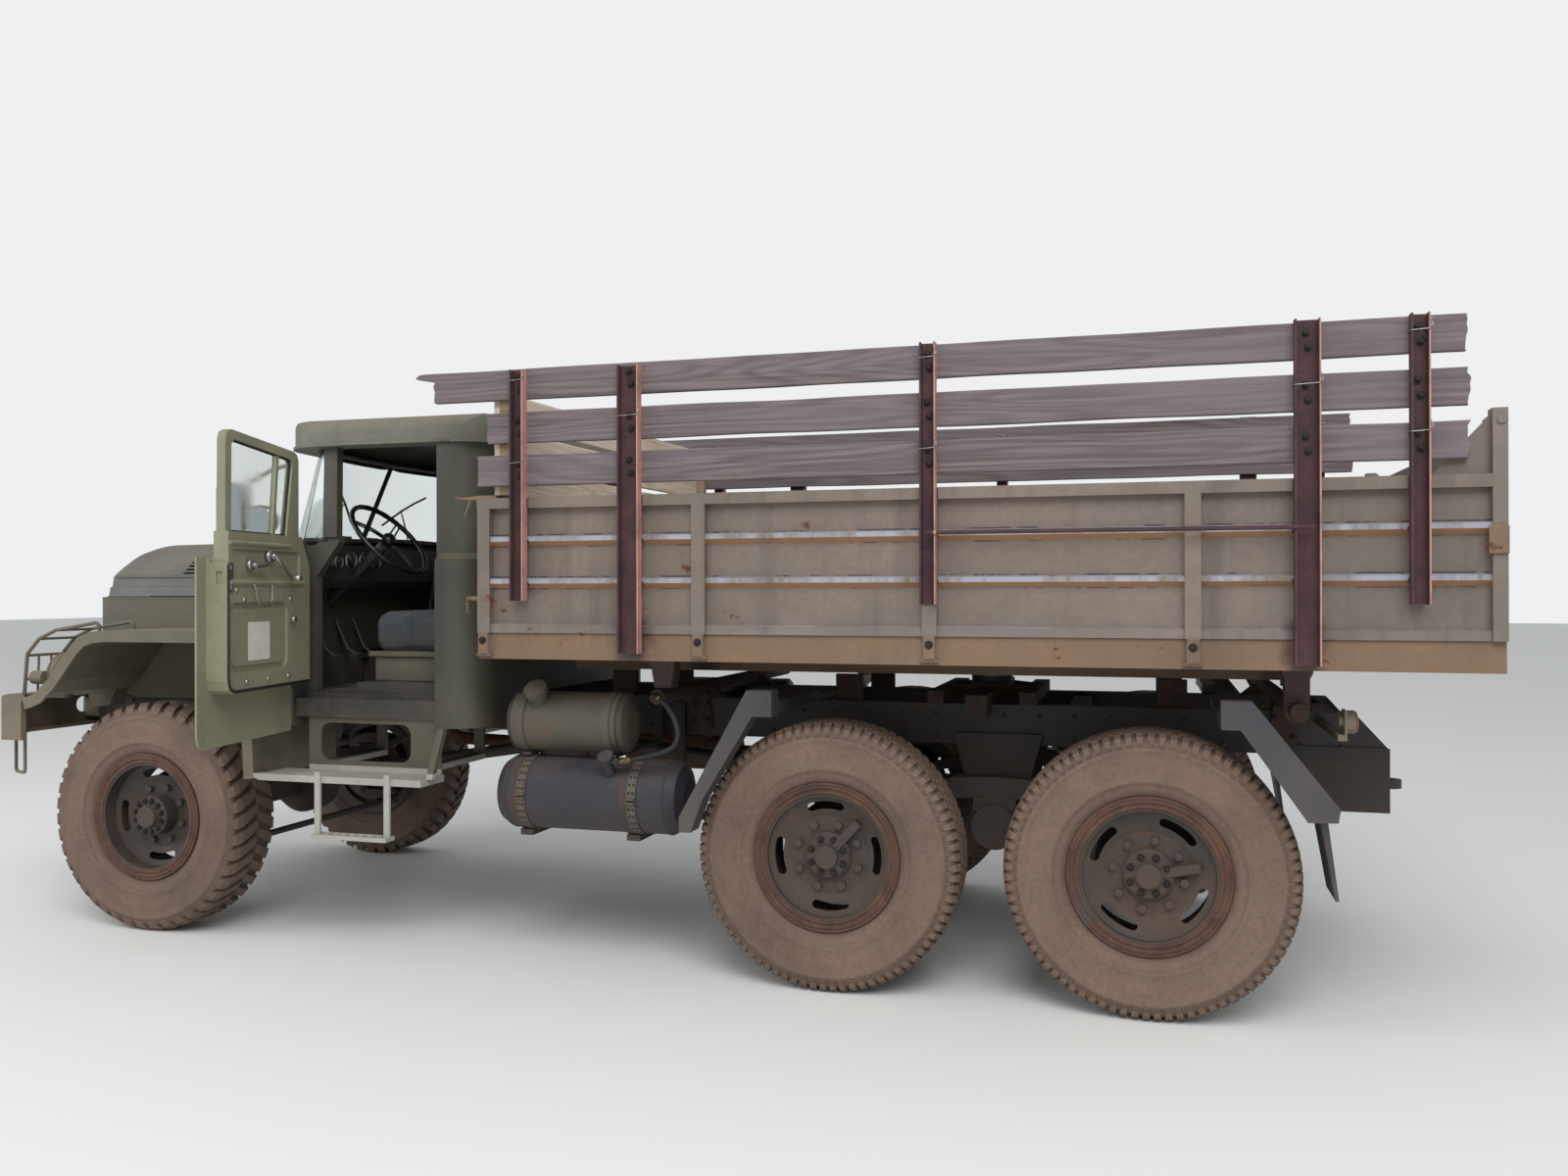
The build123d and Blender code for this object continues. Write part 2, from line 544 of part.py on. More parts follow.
def hood():
    """Alligator hood: stepped sides, pressed rib, louvred flanks, upright nose and hinge barrels."""
    outer = loft([hood_section(*row, 1600) for row in HOOD_SECTIONS], ruled=True)
    inner = loft([hood_section(HOOD_REAR_X - 20, 16, 12, 1560), hood_section(690, 0, 12, 1560),
                  hood_section(HOOD_FRONT_X - 12, 0, 37, 1560)], ruled=True)
    shell = outer - inner
    hx, hz = HOOD_HINGE
    ribs = both_sides(block(HOOD_REAR_X, 690, 492, 506, 1697, 1709))
    lip = hood_run(-405, 280, 7, -9, 1640) - hood_run(-410, 285, 7, -1, 1630)
    blades = []
    slots = []
    for z in LOUVRE_HEIGHTS:
        for x0, x1 in LOUVRE_RUNS:
            blades.append(both_sides(block(x0, x1, 300, 530, z, z + 5)) & lip)
            slots.append(both_sides(block(x0 + 4, x1 - 4, 330, 530, z - 9, z - 1)))
    barrels = []
    for y in (90, -150):
        leaf = block(hx + 12, hx + 45, y, y + 60, hz - 28, hz - 1) + block(hx + 4, hx + 13, y, y + 60, hz - 9, hz - 1)
        leaf = leaf - bar((hx, y - 5, hz), (hx, y + 65, hz), 8)
        barrels.append(bar((hx, y, hz), (hx, y + 60, hz), 10, 6.05) + leaf)
    return joined([shell, ribs, *barrels]) - slots + blades


def cowl_line(inset):
    """Plan of the cab's front: across the dash, round the corners, back to the door hinge."""
    i = inset
    return [(-805, CAB_HALF_WIDTH - i), (-740, CAB_HALF_WIDTH - i), (-640 - i, 900 - i * 0.6),
            (-605 - i, 700 - i * 0.3), (-605 - i, -700 + i * 0.3), (-640 - i, -900 + i * 0.6),
            (-740, i - CAB_HALF_WIDTH), (-805, i - CAB_HALF_WIDTH)]


def cowl_crown(drop):
    """Everything under the scuttle's arched top."""
    z = COWL_CROWN_Z - drop
    arch = ThreePointArc((1010, z - 52), (0, z), (-1010, z - 52))
    box = [Line((-1010, 1500), (1010, 1500)), Line((1010, 1500), (1010, z - 52)), arch,
           Line((-1010, z - 52), (-1010, 1500))]
    return extrude(end_plane(-1100) * make_face(box), 800)


# Plan of the scuttle's left half, from the hood hinge round the windscreen's foot to the door
SCUTTLE = ((-455, 300), (-500, 450), (-560, 585), (-606, 700), (-640, 900), (-740, 1000), (-805, 1000))
SCUTTLE_INSIDE = ((-480, 290), (-524, 430), (-590, 575), (-640, 700), (-672, 880), (-750, 962), (-810, 962))


def mirrored_plan(half):
    return [*half, *[(x, -y) for x, y in half[::-1]]]


def windscreen_posts():
    """Corner posts, leaning slightly in, and the thin centre post."""
    posts = []
    for side in (1, -1):
        foot = Plane((-947, side * 902, 1875)) * Rectangle(76, 44)
        head = Plane((-950, side * 896, ROOF_Z)) * Rectangle(70, 44)
        posts.append(loft([foot, head], ruled=True))
    foot = Plane((-476, 0, 1890)) * Rectangle(22, 16)
    head = Plane((-657, 0, ROOF_Z)) * Rectangle(22, 16)
    return joined([*posts, loft([foot, head], ruled=True)])


def cab_cowl():
    """Firewall, arched scuttle, door pillars with their dog-legs, windscreen posts, hood hinge ears."""
    skin = cowl_line(0) + cowl_line(38)[::-1]
    wall = flat_plate(skin, 1000, 1800)
    top = flat_plate(mirrored_plan(SCUTTLE), 1800, 1950) & cowl_crown(0)
    top = top - (flat_plate(mirrored_plan(SCUTTLE_INSIDE), 1812, 1950) & cowl_crown(18))
    top = top - flat_plate(cowl_line(38), 1790, 1820)
    neck = (hood_run(-608, -433, 16, 0, 1594) - hood_run(-620, -430, 16, 12, 1560)) & cowl_crown(0)
    jamb = side_plate([(-770, 1000), (-815, 1000), (-845, 1030), (-862, 1075), (-862, 1690), (-985, 1850),
                       (-985, 1882), (-900, 1882), (-860, 1840), (-770, 1840)], 862, 908)
    pillars = both_sides(jamb + block(-805, -770, 862, 965, 1000, 1840))
    hx, hz = HOOD_HINGE
    ears = []
    for y in (76, 154, -86, -164):
        ears.append(block(-462, hx + 9, y, y + 10, hz - 30, hz + 9))
    pins = [bar((hx, y, hz), (hx, y + 88, hz), 6) for y in (76, -164)]
    tunnel = block(-700, -500, -240, 240, 990, 1320)
    frame_way = block(-700, -500, -445, 445, 990, 1136)
    whole = joined([wall, top, neck, pillars, windscreen_posts(), *ears, *pins])
    return whole - tunnel - frame_way - steering_column(30)


# Windscreen plan, foot and head: centre, two arc middles, arc ends and the end at the post
SCREEN_FOOT = ((-470, 8), (-503, 350), (-592, 640), (-682, 800), (-790, 893), (-912, 905))
SCREEN_HEAD = ((-650, 8), (-668, 350), (-727, 640), (-798, 792), (-872, 868), (-918, 885))


def screen_section(plan, z):
    """Plan of the wrapped windscreen pane at one height, 8 thick."""
    a, b, c, d, e, f = plan
    g = (f[0], f[1] - 8)
    ai, bi, ci, di, ei = [(x - 8, y) for x, y in (a, b, c)] + [(d[0] - 6, d[1] - 5), (e[0] - 2, e[1] - 8)]
    lines = [ThreePointArc(a, b, c), ThreePointArc(c, d, e), Line(e, f), Line(f, g), Line(g, ei),
             ThreePointArc(ei, di, ci), ThreePointArc(ci, bi, ai), Line(ai, a)]
    return Pos(0, 0, z) * make_face(lines)


def cab_glass():
    """Two curved windscreen panes on the scuttle and the rear window pane."""
    lean = (1850 - 1897) / (ROOF_Z - 1897)
    low = [tuple(p + (q - p) * lean for p, q in zip(a, b)) for a, b in zip(SCREEN_FOOT, SCREEN_HEAD)]
    low[0] = (low[0][0], 8)
    pane = loft([screen_section(low, 1850), screen_section(SCREEN_HEAD, ROOF_Z)], ruled=True)
    pane = pane - cowl_crown(0)
    rear = block(CAB_REAR_X + 16, CAB_REAR_X + 22, -460, 460, 1925, 2235)
    return Compound(children=[pane, mirrored(pane), rear])


def back_line(half, inset, front):
    """Plan of the cab's rear: sides forward to the B-post, rounded rear corners."""
    r = 170 - inset
    x = CAB_REAR_X + inset
    y = half - inset
    return [Line((front, y), (x + r, y)), ThreePointArc((x + r, y), (x + 0.293 * r, y - 0.293 * r), (x, y - r)),
            Line((x, y - r), (x, r - y)), ThreePointArc((x, r - y), (x + 0.293 * r, 0.293 * r - y), (x + r, -y)),
            Line((x + r, -y), (front, -y))]


def back_wall(half, thickness, front, z0, z1):
    """U-shaped wall extruded between two heights."""
    outer = back_line(half, 0, front)
    closing = Line((front, -half), (front, half))
    solid = extrude(Pos(0, 0, z0) * make_face([*outer, closing]), z1 - z0)
    y = half - thickness
    inner = back_line(half, thickness, front + 10)
    inner_close = Line((front + 10, -y), (front + 10, y))
    return solid - extrude(Pos(0, 0, z0 - 5) * make_face([*inner, inner_close]), z1 - z0 + 10)


def cab_back():
    """Rear wall and corner posts, wider below the belt, with the rear window cut."""
    lower = back_wall(CAB_HALF_WIDTH, 60, -1547, 1010, BELT_Z)
    upper = back_wall(CAB_UPPER_HALF_WIDTH, 60, -1530, BELT_Z - 12, ROOF_Z)
    ledge = back_wall(CAB_HALF_WIDTH, 60, -1547, BELT_Z - 12, BELT_Z + 6)
    slope = back_line(CAB_HALF_WIDTH - 4, 0, -1547)
    foot = Pos(0, 0, BELT_Z) * make_face([*slope, Line((-1547, 4 - CAB_HALF_WIDTH), (-1547, CAB_HALF_WIDTH - 4))])
    rise = back_line(CAB_UPPER_HALF_WIDTH, 0, -1547)
    crest = Pos(0, 0, BELT_Z + 34) * make_face([*rise, Line((-1547, -CAB_UPPER_HALF_WIDTH),
                                                            (-1547, CAB_UPPER_HALF_WIDTH))])
    inside = extrude(Pos(0, 0, BELT_Z - 5) * Rectangle(4000, 2 * CAB_UPPER_HALF_WIDTH - 120), 60)
    shoulder = loft([foot, crest], ruled=True) - inside - block(CAB_REAR_X + 60, 0, -900, 900, 1700, 1900)
    window = block(CAB_REAR_X - 10, CAB_REAR_X + 90, -460, 460, 1925, 2235)
    frame_way = block(CAB_REAR_X - 10, CAB_REAR_X + 90, -520, 520, 1000, 1136)
    skirt = block(CAB_REAR_X + 170, -1547, CAB_HALF_WIDTH - 60, CAB_HALF_WIDTH, 985, 1012)
    return joined([lower, upper, ledge, shoulder, both_sides(skirt)]) - window - frame_way


def roof_plan(inset):
    """Plan of the roof: bowed front with the visor's tip in the middle, rounded corners."""
    i = inset
    half = CAB_UPPER_HALF_WIDTH + 4 - i
    rear = CAB_REAR_X - 23 + i
    r = 150 - i
    k = 0.293 * r
    front = (-660 - i, 720 - i)
    side = (-850, half)
    corner = (-742 - 0.7 * i, 895 - 0.7 * i)
    return make_face([ThreePointArc(front, (ROOF_FRONT_X - i, 0), (front[0], -front[1])),
                      ThreePointArc((front[0], -front[1]), (corner[0], -corner[1]), (side[0], -half)),
                      Line((side[0], -half), (rear + r, -half)),
                      ThreePointArc((rear + r, -half), (rear + k, k - half), (rear, r - half)),
                      Line((rear, r - half), (rear, half - r)),
                      ThreePointArc((rear, half - r), (rear + k, half - k), (rear + r, half)),
                      Line((rear + r, half), side), ThreePointArc(side, corner, front)])


def roof_form(inset, base):
    """Solid of the roof's plan, cross section and long profile together."""
    i = inset
    top = ROOF_TOP_Z - i
    half = CAB_UPPER_HALF_WIDTH + 4 - i
    section = make_face([Line((-half, 2200), (half, 2200)), Line((half, 2200), (half, top - 107)),
                         ThreePointArc((half, top - 107), (half - 26, top - 65), (860 - i, top - 43)),
                         ThreePointArc((860 - i, top - 43), (0, top), (i - 860, top - 43)),
                         ThreePointArc((i - 860, top - 43), (26 - half, top - 65), (-half, top - 107)),
                         Line((-half, top - 107), (-half, 2200))])
    front = ROOF_FRONT_X + 10 - i
    rear = CAB_REAR_X - 23 + i
    profile = make_face([Line((rear, 2200), (front, 2200)), Line((front, 2200), (front, top - 148)),
                         ThreePointArc((front, top - 148), (-742, top - 68), (-960, top - 20)),
                         ThreePointArc((-960, top - 20), (-1300, top + 3), (-1650, top - 14)),
                         ThreePointArc((-1650, top - 14), (rear + 36, top - 48), (rear, top - 120)),
                         Line((rear, top - 120), (rear, 2200))])
    plan = extrude(Pos(0, 0, base) * roof_plan(i), 400)
    return plan & extrude(end_plane(-1900) * section, 1500) & extrude(side_plane(1100) * profile, 2200)


def cab_roof():
    """Pressed roof: crowned shell with a thin visor, drip rail and the header round its inside."""
    shell = roof_form(0, ROOF_Z) - roof_form(24, ROOF_Z - 20)
    rail = extrude(Pos(0, 0, ROOF_Z) * roof_plan(-9), 12) - extrude(Pos(0, 0, ROOF_Z - 5) * roof_plan(20), 30)
    header = extrude(Pos(0, 0, ROOF_Z) * roof_plan(20), 12) - extrude(Pos(0, 0, ROOF_Z - 5) * roof_plan(112), 30)
    return joined([shell, rail, header])


def cab_floor():
    """Floor pan with sills, tunnel, footwell slope and the mounts on the rails."""
    rear_corner = [(-1590, 930), (-1690, 822), (-1690, -822), (-1590, -930)]
    pan = flat_plate([(-682, 872), (-800, 938), *rear_corner, (-800, -938), (-682, -872), (-646, -640),
                      (-646, 640)], SILL_Z, SILL_Z + 20)
    tunnel = block(-1500, -646, -190, 190, SILL_Z, 1290)
    passage = block(-1488, -640, -178, 178, SILL_Z - 10, 1278)
    riser = flat_plate([(-1080, 905), (-1600, 905), (-1690, 822), (-1690, -822), (-1600, -905), (-1080, -905)],
                       1150, 1200)
    riser = riser - block(-1660, -1030, -800, 800, 1140, 1300)
    sills = both_sides(block(-1575, -806, 930, 984, 1045, SILL_Z))
    mounts = both_sides(block(-1560, -1440, 340, 460, 1125, SILL_Z + 1) +
                        block(-900, -780, 340, 460, 1125, SILL_Z + 1))
    return joined([pan, tunnel, riser, sills, mounts]) - passage


def steering_column(radius):
    """Round column from under the wheel down through the firewall."""
    hub = Vector(*STEERING_HUB)
    lean = math.radians(STEERING_LEAN_DEG)
    way = Vector(math.sin(lean), 0, -math.cos(lean))
    return bar(hub + way * 42, hub + way * 500, radius)


def dashboard():
    """Instrument panel, steering column with its jacket, pedals and gear levers."""
    panel = side_plate([(-644, 1874), (-760, 1874), (-802, 1840), (-815, 1690), (-780, 1640), (-644, 1640)],
                       -900, 900)
    panel = panel & flat_plate(cowl_line(39), 1500, 1949) & cowl_crown(19)
    column = steering_column(26)
    levers = [rod([(-900, 60, 1296), (-960, 90, 1560), (-1010, 120, 1720)], 10, 40),
              rod([(-880, -60, 1296), (-900, -90, 1500)], 9, 20)]
    knobs = [Pos(-1010, 120, 1725) * Sphere(24), Pos(-900, -90, 1505) * Sphere(20)]
    pedals = []
    for y in (330, 470, 640):
        pedals.append(rod([(-650, y, 1480), (-720, y, 1330), (-775, y, 1300)], 9, 30))
        pedals.append(block(-800, -755, y - 35, y + 35, 1285, 1310))
    return joined([panel, column, *levers, *knobs, *pedals])


def seats():
    """Driver's seat and two-place bench: cushions, backs and the box bases under them."""
    pieces = []
    for y0, y1, base_y in ((250, 840, 280), (-860, -10, -200)):
        base = block(-1480, -1110, base_y, y0 + 30 if y0 < 0 else y1 - 30, 1200, 1330)
        seat = side_plate([(-1560, 1330), (-1560, 1540), (-1075, 1540), (-1075, 1330)], y0, y1)
        cushion = fillet(seat.edges().filter_by(Axis.Y).group_by(Axis.X)[-1], 90)
        cushion = fillet(cushion.edges().filter_by(Axis.X).group_by(Axis.Z)[-1], 28)
        back = side_plate([(-1500, 1541), (-1605, 1541), (-1670, 1990), (-1580, 1990)], y0, y1)
        back = fillet(back.edges().filter_by(Axis.Y).group_by(Axis.Z)[-1], 35)
        pieces.append(joined([base, cushion, back]))
    return Compound(children=pieces)


def steering_wheel():
    """Three-spoke wheel, square to its column."""
    plane = Plane(Vector(*STEERING_HUB), x_dir=(0, 1, 0),
                  z_dir=(-math.sin(math.radians(STEERING_LEAN_DEG)), 0, math.cos(math.radians(STEERING_LEAN_DEG))))
    ring = revolve(Plane.XZ * Pos(220, 0) * RegularPolygon(14, 8), axis=Axis.Z)
    hub = Cylinder(38, 50)
    spokes = [Rot(0, 0, 120 * i + 90) * Pos(112, 0, 0) * Box(190, 20, 12) for i in range(3)]
    return plane.location * joined([ring, hub, *spokes])


def ladder_step():
    """Left step: channel board, pointed bracket, strut and a hanging two-leg ladder."""
    board = block(-1570, -740, 960, 1150, 770, 800) - block(-1560, -750, 966, 1140, 760, 792)
    point = side_plate([(-740, 800), (-660, 800), (-740, 770)], 1100, 1150)
    strut = side_plate([(-1570, 800), (-1600, 800), (-1660, 1020), (-1630, 1020)], 1080, 1110)
    carriers = [block(x - 25, x + 25, RAIL_Y, 970, 800, 830) for x in (-900, -1450)]
    posts = [block(x - 25, x + 25, RAIL_Y, RAIL_Y + 20, 800, 1000) for x in (-900, -1450)]
    legs = [block(x - 14, x + 14, 1150, 1162, 530, 820) for x in (-1055, -1408)]
    tread = block(-1422, -1041, 1120, 1190, 530, 548)
    tread = tread - [block(-1410 + i * 44, -1378 + i * 44, 1132, 1178, 520, 560) for i in range(8)]
    back_legs = [block(x - 14, x + 14, 1120, 1150, 530, 545) for x in (-1055, -1408)]
    return joined([board, point, strut, *carriers, *posts, *legs, tread, *back_legs, apron()])


def apron():
    """Panel from the sill down to the step board, with a rounded way through it."""
    panel = side_plate([(-870, 798), (-1560, 798), (-1560, 1000), (-1530, 1044), (-870, 1044)], 960, 970)
    hole = make_face(FilletPolyline((-934, 846), (-1406, 846), (-1406, 1018), (-934, 1018), radius=48, close=True))
    return panel - extrude(side_plane(990) * hole, 50)


def plain_step():
    """Right step: the same board and strut, without the hanging ladder."""
    board = block(-1570, -740, -1150, -960, 770, 800) - block(-1560, -750, -1140, -966, 760, 792)
    point = side_plate([(-740, 800), (-660, 800), (-740, 770)], -1150, -1100)
    strut = side_plate([(-1570, 800), (-1600, 800), (-1660, 1020), (-1630, 1020)], -1110, -1080)
    carriers = [block(x - 25, x + 25, -970, -RAIL_Y, 800, 830) for x in (-900, -1450)]
    posts = [block(x - 25, x + 25, -RAIL_Y - 20, -RAIL_Y, 800, 1000) for x in (-900, -1450)]
    return joined([board, point, strut, *carriers, *posts, mirrored(apron())])


def rounded_drum(x0, x1, y, z, radius, end):
    """Round tank along X with domed ends."""
    body = bar((x0 + end, y, z), (x1 - end, y, z), radius)
    caps = []
    for x, way in ((x0 + end, -1), (x1 - end, 1)):
        plane = Plane((x, y, z), x_dir=(0, 1, 0), z_dir=(way, 0, 0))
        cap = loft([plane * Circle(radius), plane.offset(end * 0.62) * Circle(radius * 0.86),
                    plane.offset(end) * Circle(radius * 0.5)], ruled=True)
        caps.append(cap)
    return joined([body, *caps])


TANK_Y = 935


def fuel_tank():
    """Upper tank on its cradle: round drum, filler neck and cap, two hangers to the rail."""
    drum = rounded_drum(-2475, -1920, TANK_Y, 1055, 130, 26)
    neck = bar((-2080, TANK_Y + 60, 1125), (-2080, TANK_Y + 125, 1190), 38)
    cap = bar((-2080, TANK_Y + 118, 1184), (-2080, TANK_Y + 140, 1208), 50)
    return joined([drum, neck, cap])


def gas_cylinder():
    """Lower cylinder, its valve head and gauge block."""
    drum = rounded_drum(-2735, -1874, TANK_Y, 745, 158, 60)
    valve = bar((-2420, TANK_Y + 110, 845), (-2420, TANK_Y + 165, 925), 24)
    wheel = bar((-2420, TANK_Y + 160, 918), (-2420, TANK_Y + 172, 934), 34)
    stub = bar((-2420, TANK_Y + 150, 908), (-2480, TANK_Y + 150, 908), 12)
    return joined([drum, valve, wheel, stub])


def tank_cradle():
    """Two hanger frames that carry both tanks, with the straps round the cylinder."""
    pieces = []
    for x in (-2000, -2500):
        arm_low = block(x - 30, x + 30, RAIL_Y, TANK_Y + 60, 560, 586)
        post = block(x - 30, x + 30, RAIL_Y, RAIL_Y + 30, 560, 1100)
        ring = Plane((x - 28, TANK_Y, 745), x_dir=(0, 1, 0), z_dir=(1, 0, 0)) * (Circle(163) - Circle(158.4))
        pieces.append(joined([arm_low, post, extrude(ring, 56)]))
    for x in (-2000, -2400):
        shelf = block(x - 20, x + 20, RAIL_Y, TANK_Y + 60, 909, 922)
        post = block(x - 20, x + 20, RAIL_Y, RAIL_Y + 26, 909, 1100)
        ring = Plane((x - 14, TANK_Y, 1055), x_dir=(0, 1, 0), z_dir=(1, 0, 0)) * (Circle(134) - Circle(130.3))
        pieces.append(joined([shelf, post, extrude(ring, 28)]))
    return joined(pieces)


def gas_hose():
    """Hose from the bed's front bearing down beside the tank to the cylinder valve."""
    path = [(-2600, 1000, 1180), (-2700, 1085, 1150), (-2760, 1105, 1020), (-2700, 1110, 950), (-2483, 1086, 908)]
    return rod(path, 11, 45)


# Mudguard arms: outline (x, z), inset outline of the channel's hollow, cross tube at the foot
GUARD_ARMS = (
    ([(-3160, 1222), (-3054, 1222), (-2765, 700), (-2765, 640), (-2815, 640), (-2868, 778), (-3078, 1118),
      (-3160, 1118)],
     [(-3150, 1212), (-3060, 1212), (-2777, 698), (-2777, 650), (-2808, 650), (-2860, 783), (-3072, 1128),
      (-3150, 1128)], (-2792, 672)),
    ([(-4852, 1221), (-4959, 1221), (-5249, 848), (-5242, 800), (-5142, 797), (-4919, 1117), (-4852, 1117)],
     [(-4862, 1211), (-4954, 1211), (-5238, 845), (-5233, 810), (-5148, 807), (-4925, 1127), (-4862, 1127)],
     (-5200, 828)))


def mudguard_arms():
    """Sloping channel arms before and behind the bogie on beams from the rails, with flaps."""
    pieces = []
    for outer, hollow, (foot_x, foot_z) in GUARD_ARMS:
        arm = side_plate(outer, 1050, 1150) - side_plate(hollow, 1040, 1142)
        x0 = outer[0][0]
        x1 = x0 + (60 if x0 > outer[1][0] else -60) * -1
        beam = block(min(x0, x1), max(x0, x1), 380, 1142, RAIL_TOP, 1170)
        foot = bar((foot_x, 800, foot_z), (foot_x, 1143, foot_z), 14)
        pieces.append(joined([arm, beam, foot]))
    flap = side_plate([(-5186, 845), (-5214, 845), (-5258, 500), (-5246, 500)], 800, 1040)
    return both_sides(joined([*pieces, flap]))


def rear_lamps():
    """Lamp brackets at the frame's end with round tail lamps."""
    bracket = block(-5285, -5255, RAIL_Y, 1040, 1078, 1100)
    plate = block(-5286, -5278, 958, 1042, 1078, 1188)
    lamp = bar((-5285, 1000, 1144), (-5316, 1000, 1144), 42)
    plug = bar((-5279, 1000, 1144), (-5262, 1000, 1144), 20)
    return both_sides(joined([bracket, plate, lamp, plug]))


def exhaust():
    """Silencer along the right rail with its inlet pipe and a tail pipe out to the side."""
    drum = rounded_drum(-2450, -1780, -640, EXHAUST_Z, 105, 30)
    inlet = rod([(-1800, -640, EXHAUST_Z), (-1400, -640, EXHAUST_Z), (-900, -300, 800), (-500, -300, 980),
                 (-380, -260, 1078)], 34, 60)
    tail = rod([(-2430, -640, EXHAUST_Z), (-2560, -640, EXHAUST_Z), (-2640, -900, 730), (-2640, -1120, 710)],
               34, 60)
    hangers = [block(x - 15, x + 15, -650, -RAIL_Y, EXHAUST_Z + 98, 975) for x in (-1900, -2330)]
    return joined([drum, inlet, tail, *hangers])


def air_tanks():
    """Two brake air reservoirs under the right step's rear, on straps from the rail."""
    drums = [rounded_drum(-2640, -1960, -1000, 1010, 105, 24)]
    hangers = [block(x - 20, x + 20, -1000, -RAIL_Y, 1010, 1040) for x in (-2080, -2520)]
    return joined([*drums, *hangers])


# Tipping gear
def hoist_cradle():
    """Cross-beams and side plates round the hoist, with trunnion bearings and beam stubs."""
    cross = [block(x - 35, x + 35, -RAIL_Y, RAIL_Y, RAIL_TOP, 1178) for x in (HOIST_X - 200, HOIST_X + 200)]
    plates = both_sides(side_plate([(HOIST_X - 235, RAIL_TOP), (HOIST_X + 235, RAIL_TOP), (HOIST_X + 235, 1178),
                                    (HOIST_X + 60, 1195), (HOIST_X - 60, 1195), (HOIST_X - 235, 1178)], 112, 140))
    stubs = both_sides(block(HOIST_X - 45, HOIST_X + 45, 138, 600, 1126, 1176) +
                       block(HOIST_X - 45, HOIST_X + 45, RAIL_Y + 4, 600, 1080, 1176))
    bores = bar((HOIST_X, -145, HOIST_PIN_Z), (HOIST_X, 145, HOIST_PIN_Z), 30.05)
    return joined([*cross, plates, stubs]) - bores


def bed_bearers():
    """Cross tubes on the rails that carry the bed's corner bearings, and the rest blocks."""
    pieces = []
    for x in (TIP_HINGE[0], -2605):
        tube = bar((x, -985, TIP_HINGE[1]), (x, 985, TIP_HINGE[1]), 32)
        feet = both_sides(side_plate([(x - 110, RAIL_TOP), (x + 110, RAIL_TOP), (x + 50, 1175), (x - 50, 1175)],
                                     RAIL_Y - 60, RAIL_Y - 10))
        gusset = both_sides(side_plate([(x - 60, 990), (x + 60, 990), (x + 40, 1150), (x - 40, 1150)],
                                       RAIL_Y, RAIL_Y + 14))
        pieces.append(joined([tube, feet, gusset]))
    rests = [block(x - 60, x + 60, side * 362, side * 395, RAIL_TOP, 1244)
             for x in (-2200, -3300, -4700) for side in (1, -1)]
    return joined(pieces + rests)


HOIST_RADII = ((95, 85), (84, 73), (72, 61), (60, 0))
HOIST_BARREL_TOP = 1225
HOIST_LENGTH = 415


def hoist_barrel():
    """Barrel with closed foot and two trunnion pins."""
    outer, inner = HOIST_RADII[0]
    bottom = HOIST_BARREL_TOP - HOIST_LENGTH
    tube = bar((HOIST_X, 0, bottom), (HOIST_X, 0, HOIST_BARREL_TOP), outer, inner)
    foot = bar((HOIST_X, 0, bottom - 14), (HOIST_X, 0, bottom + 1), outer)
    pins = both_sides(bar((HOIST_X, inner + 4, HOIST_PIN_Z), (HOIST_X, 138, HOIST_PIN_Z), 30))
    return joined([tube, foot, pins])


def hoist_stage(i):
    """Stage i of the telescopic ram; the last one ends in the eye."""
    outer, inner = HOIST_RADII[i]
    bottom = HOIST_BARREL_TOP - HOIST_LENGTH + 2 + 3 * i
    top = HOIST_BARREL_TOP + 2 * i
    tube = bar((HOIST_X, 0, bottom), (HOIST_X, 0, top), outer, inner)
    if i < 3:
        return tube
    neck = bar((HOIST_X, 0, top - 1), (HOIST_X, 0, HOIST_EYE_Z), 36)
    eye = bar((HOIST_X, -34, HOIST_EYE_Z), (HOIST_X, 34, HOIST_EYE_Z), 58)
    bore = bar((HOIST_X, -60, HOIST_EYE_Z), (HOIST_X, 60, HOIST_EYE_Z), 42)
    return joined([tube, neck, eye]) - bore


# Bed
BED_MEMBER_XS = (-1940, -2420, -2900, -3380, -3700, -4100, -4520, -5000, -5500, -5715)


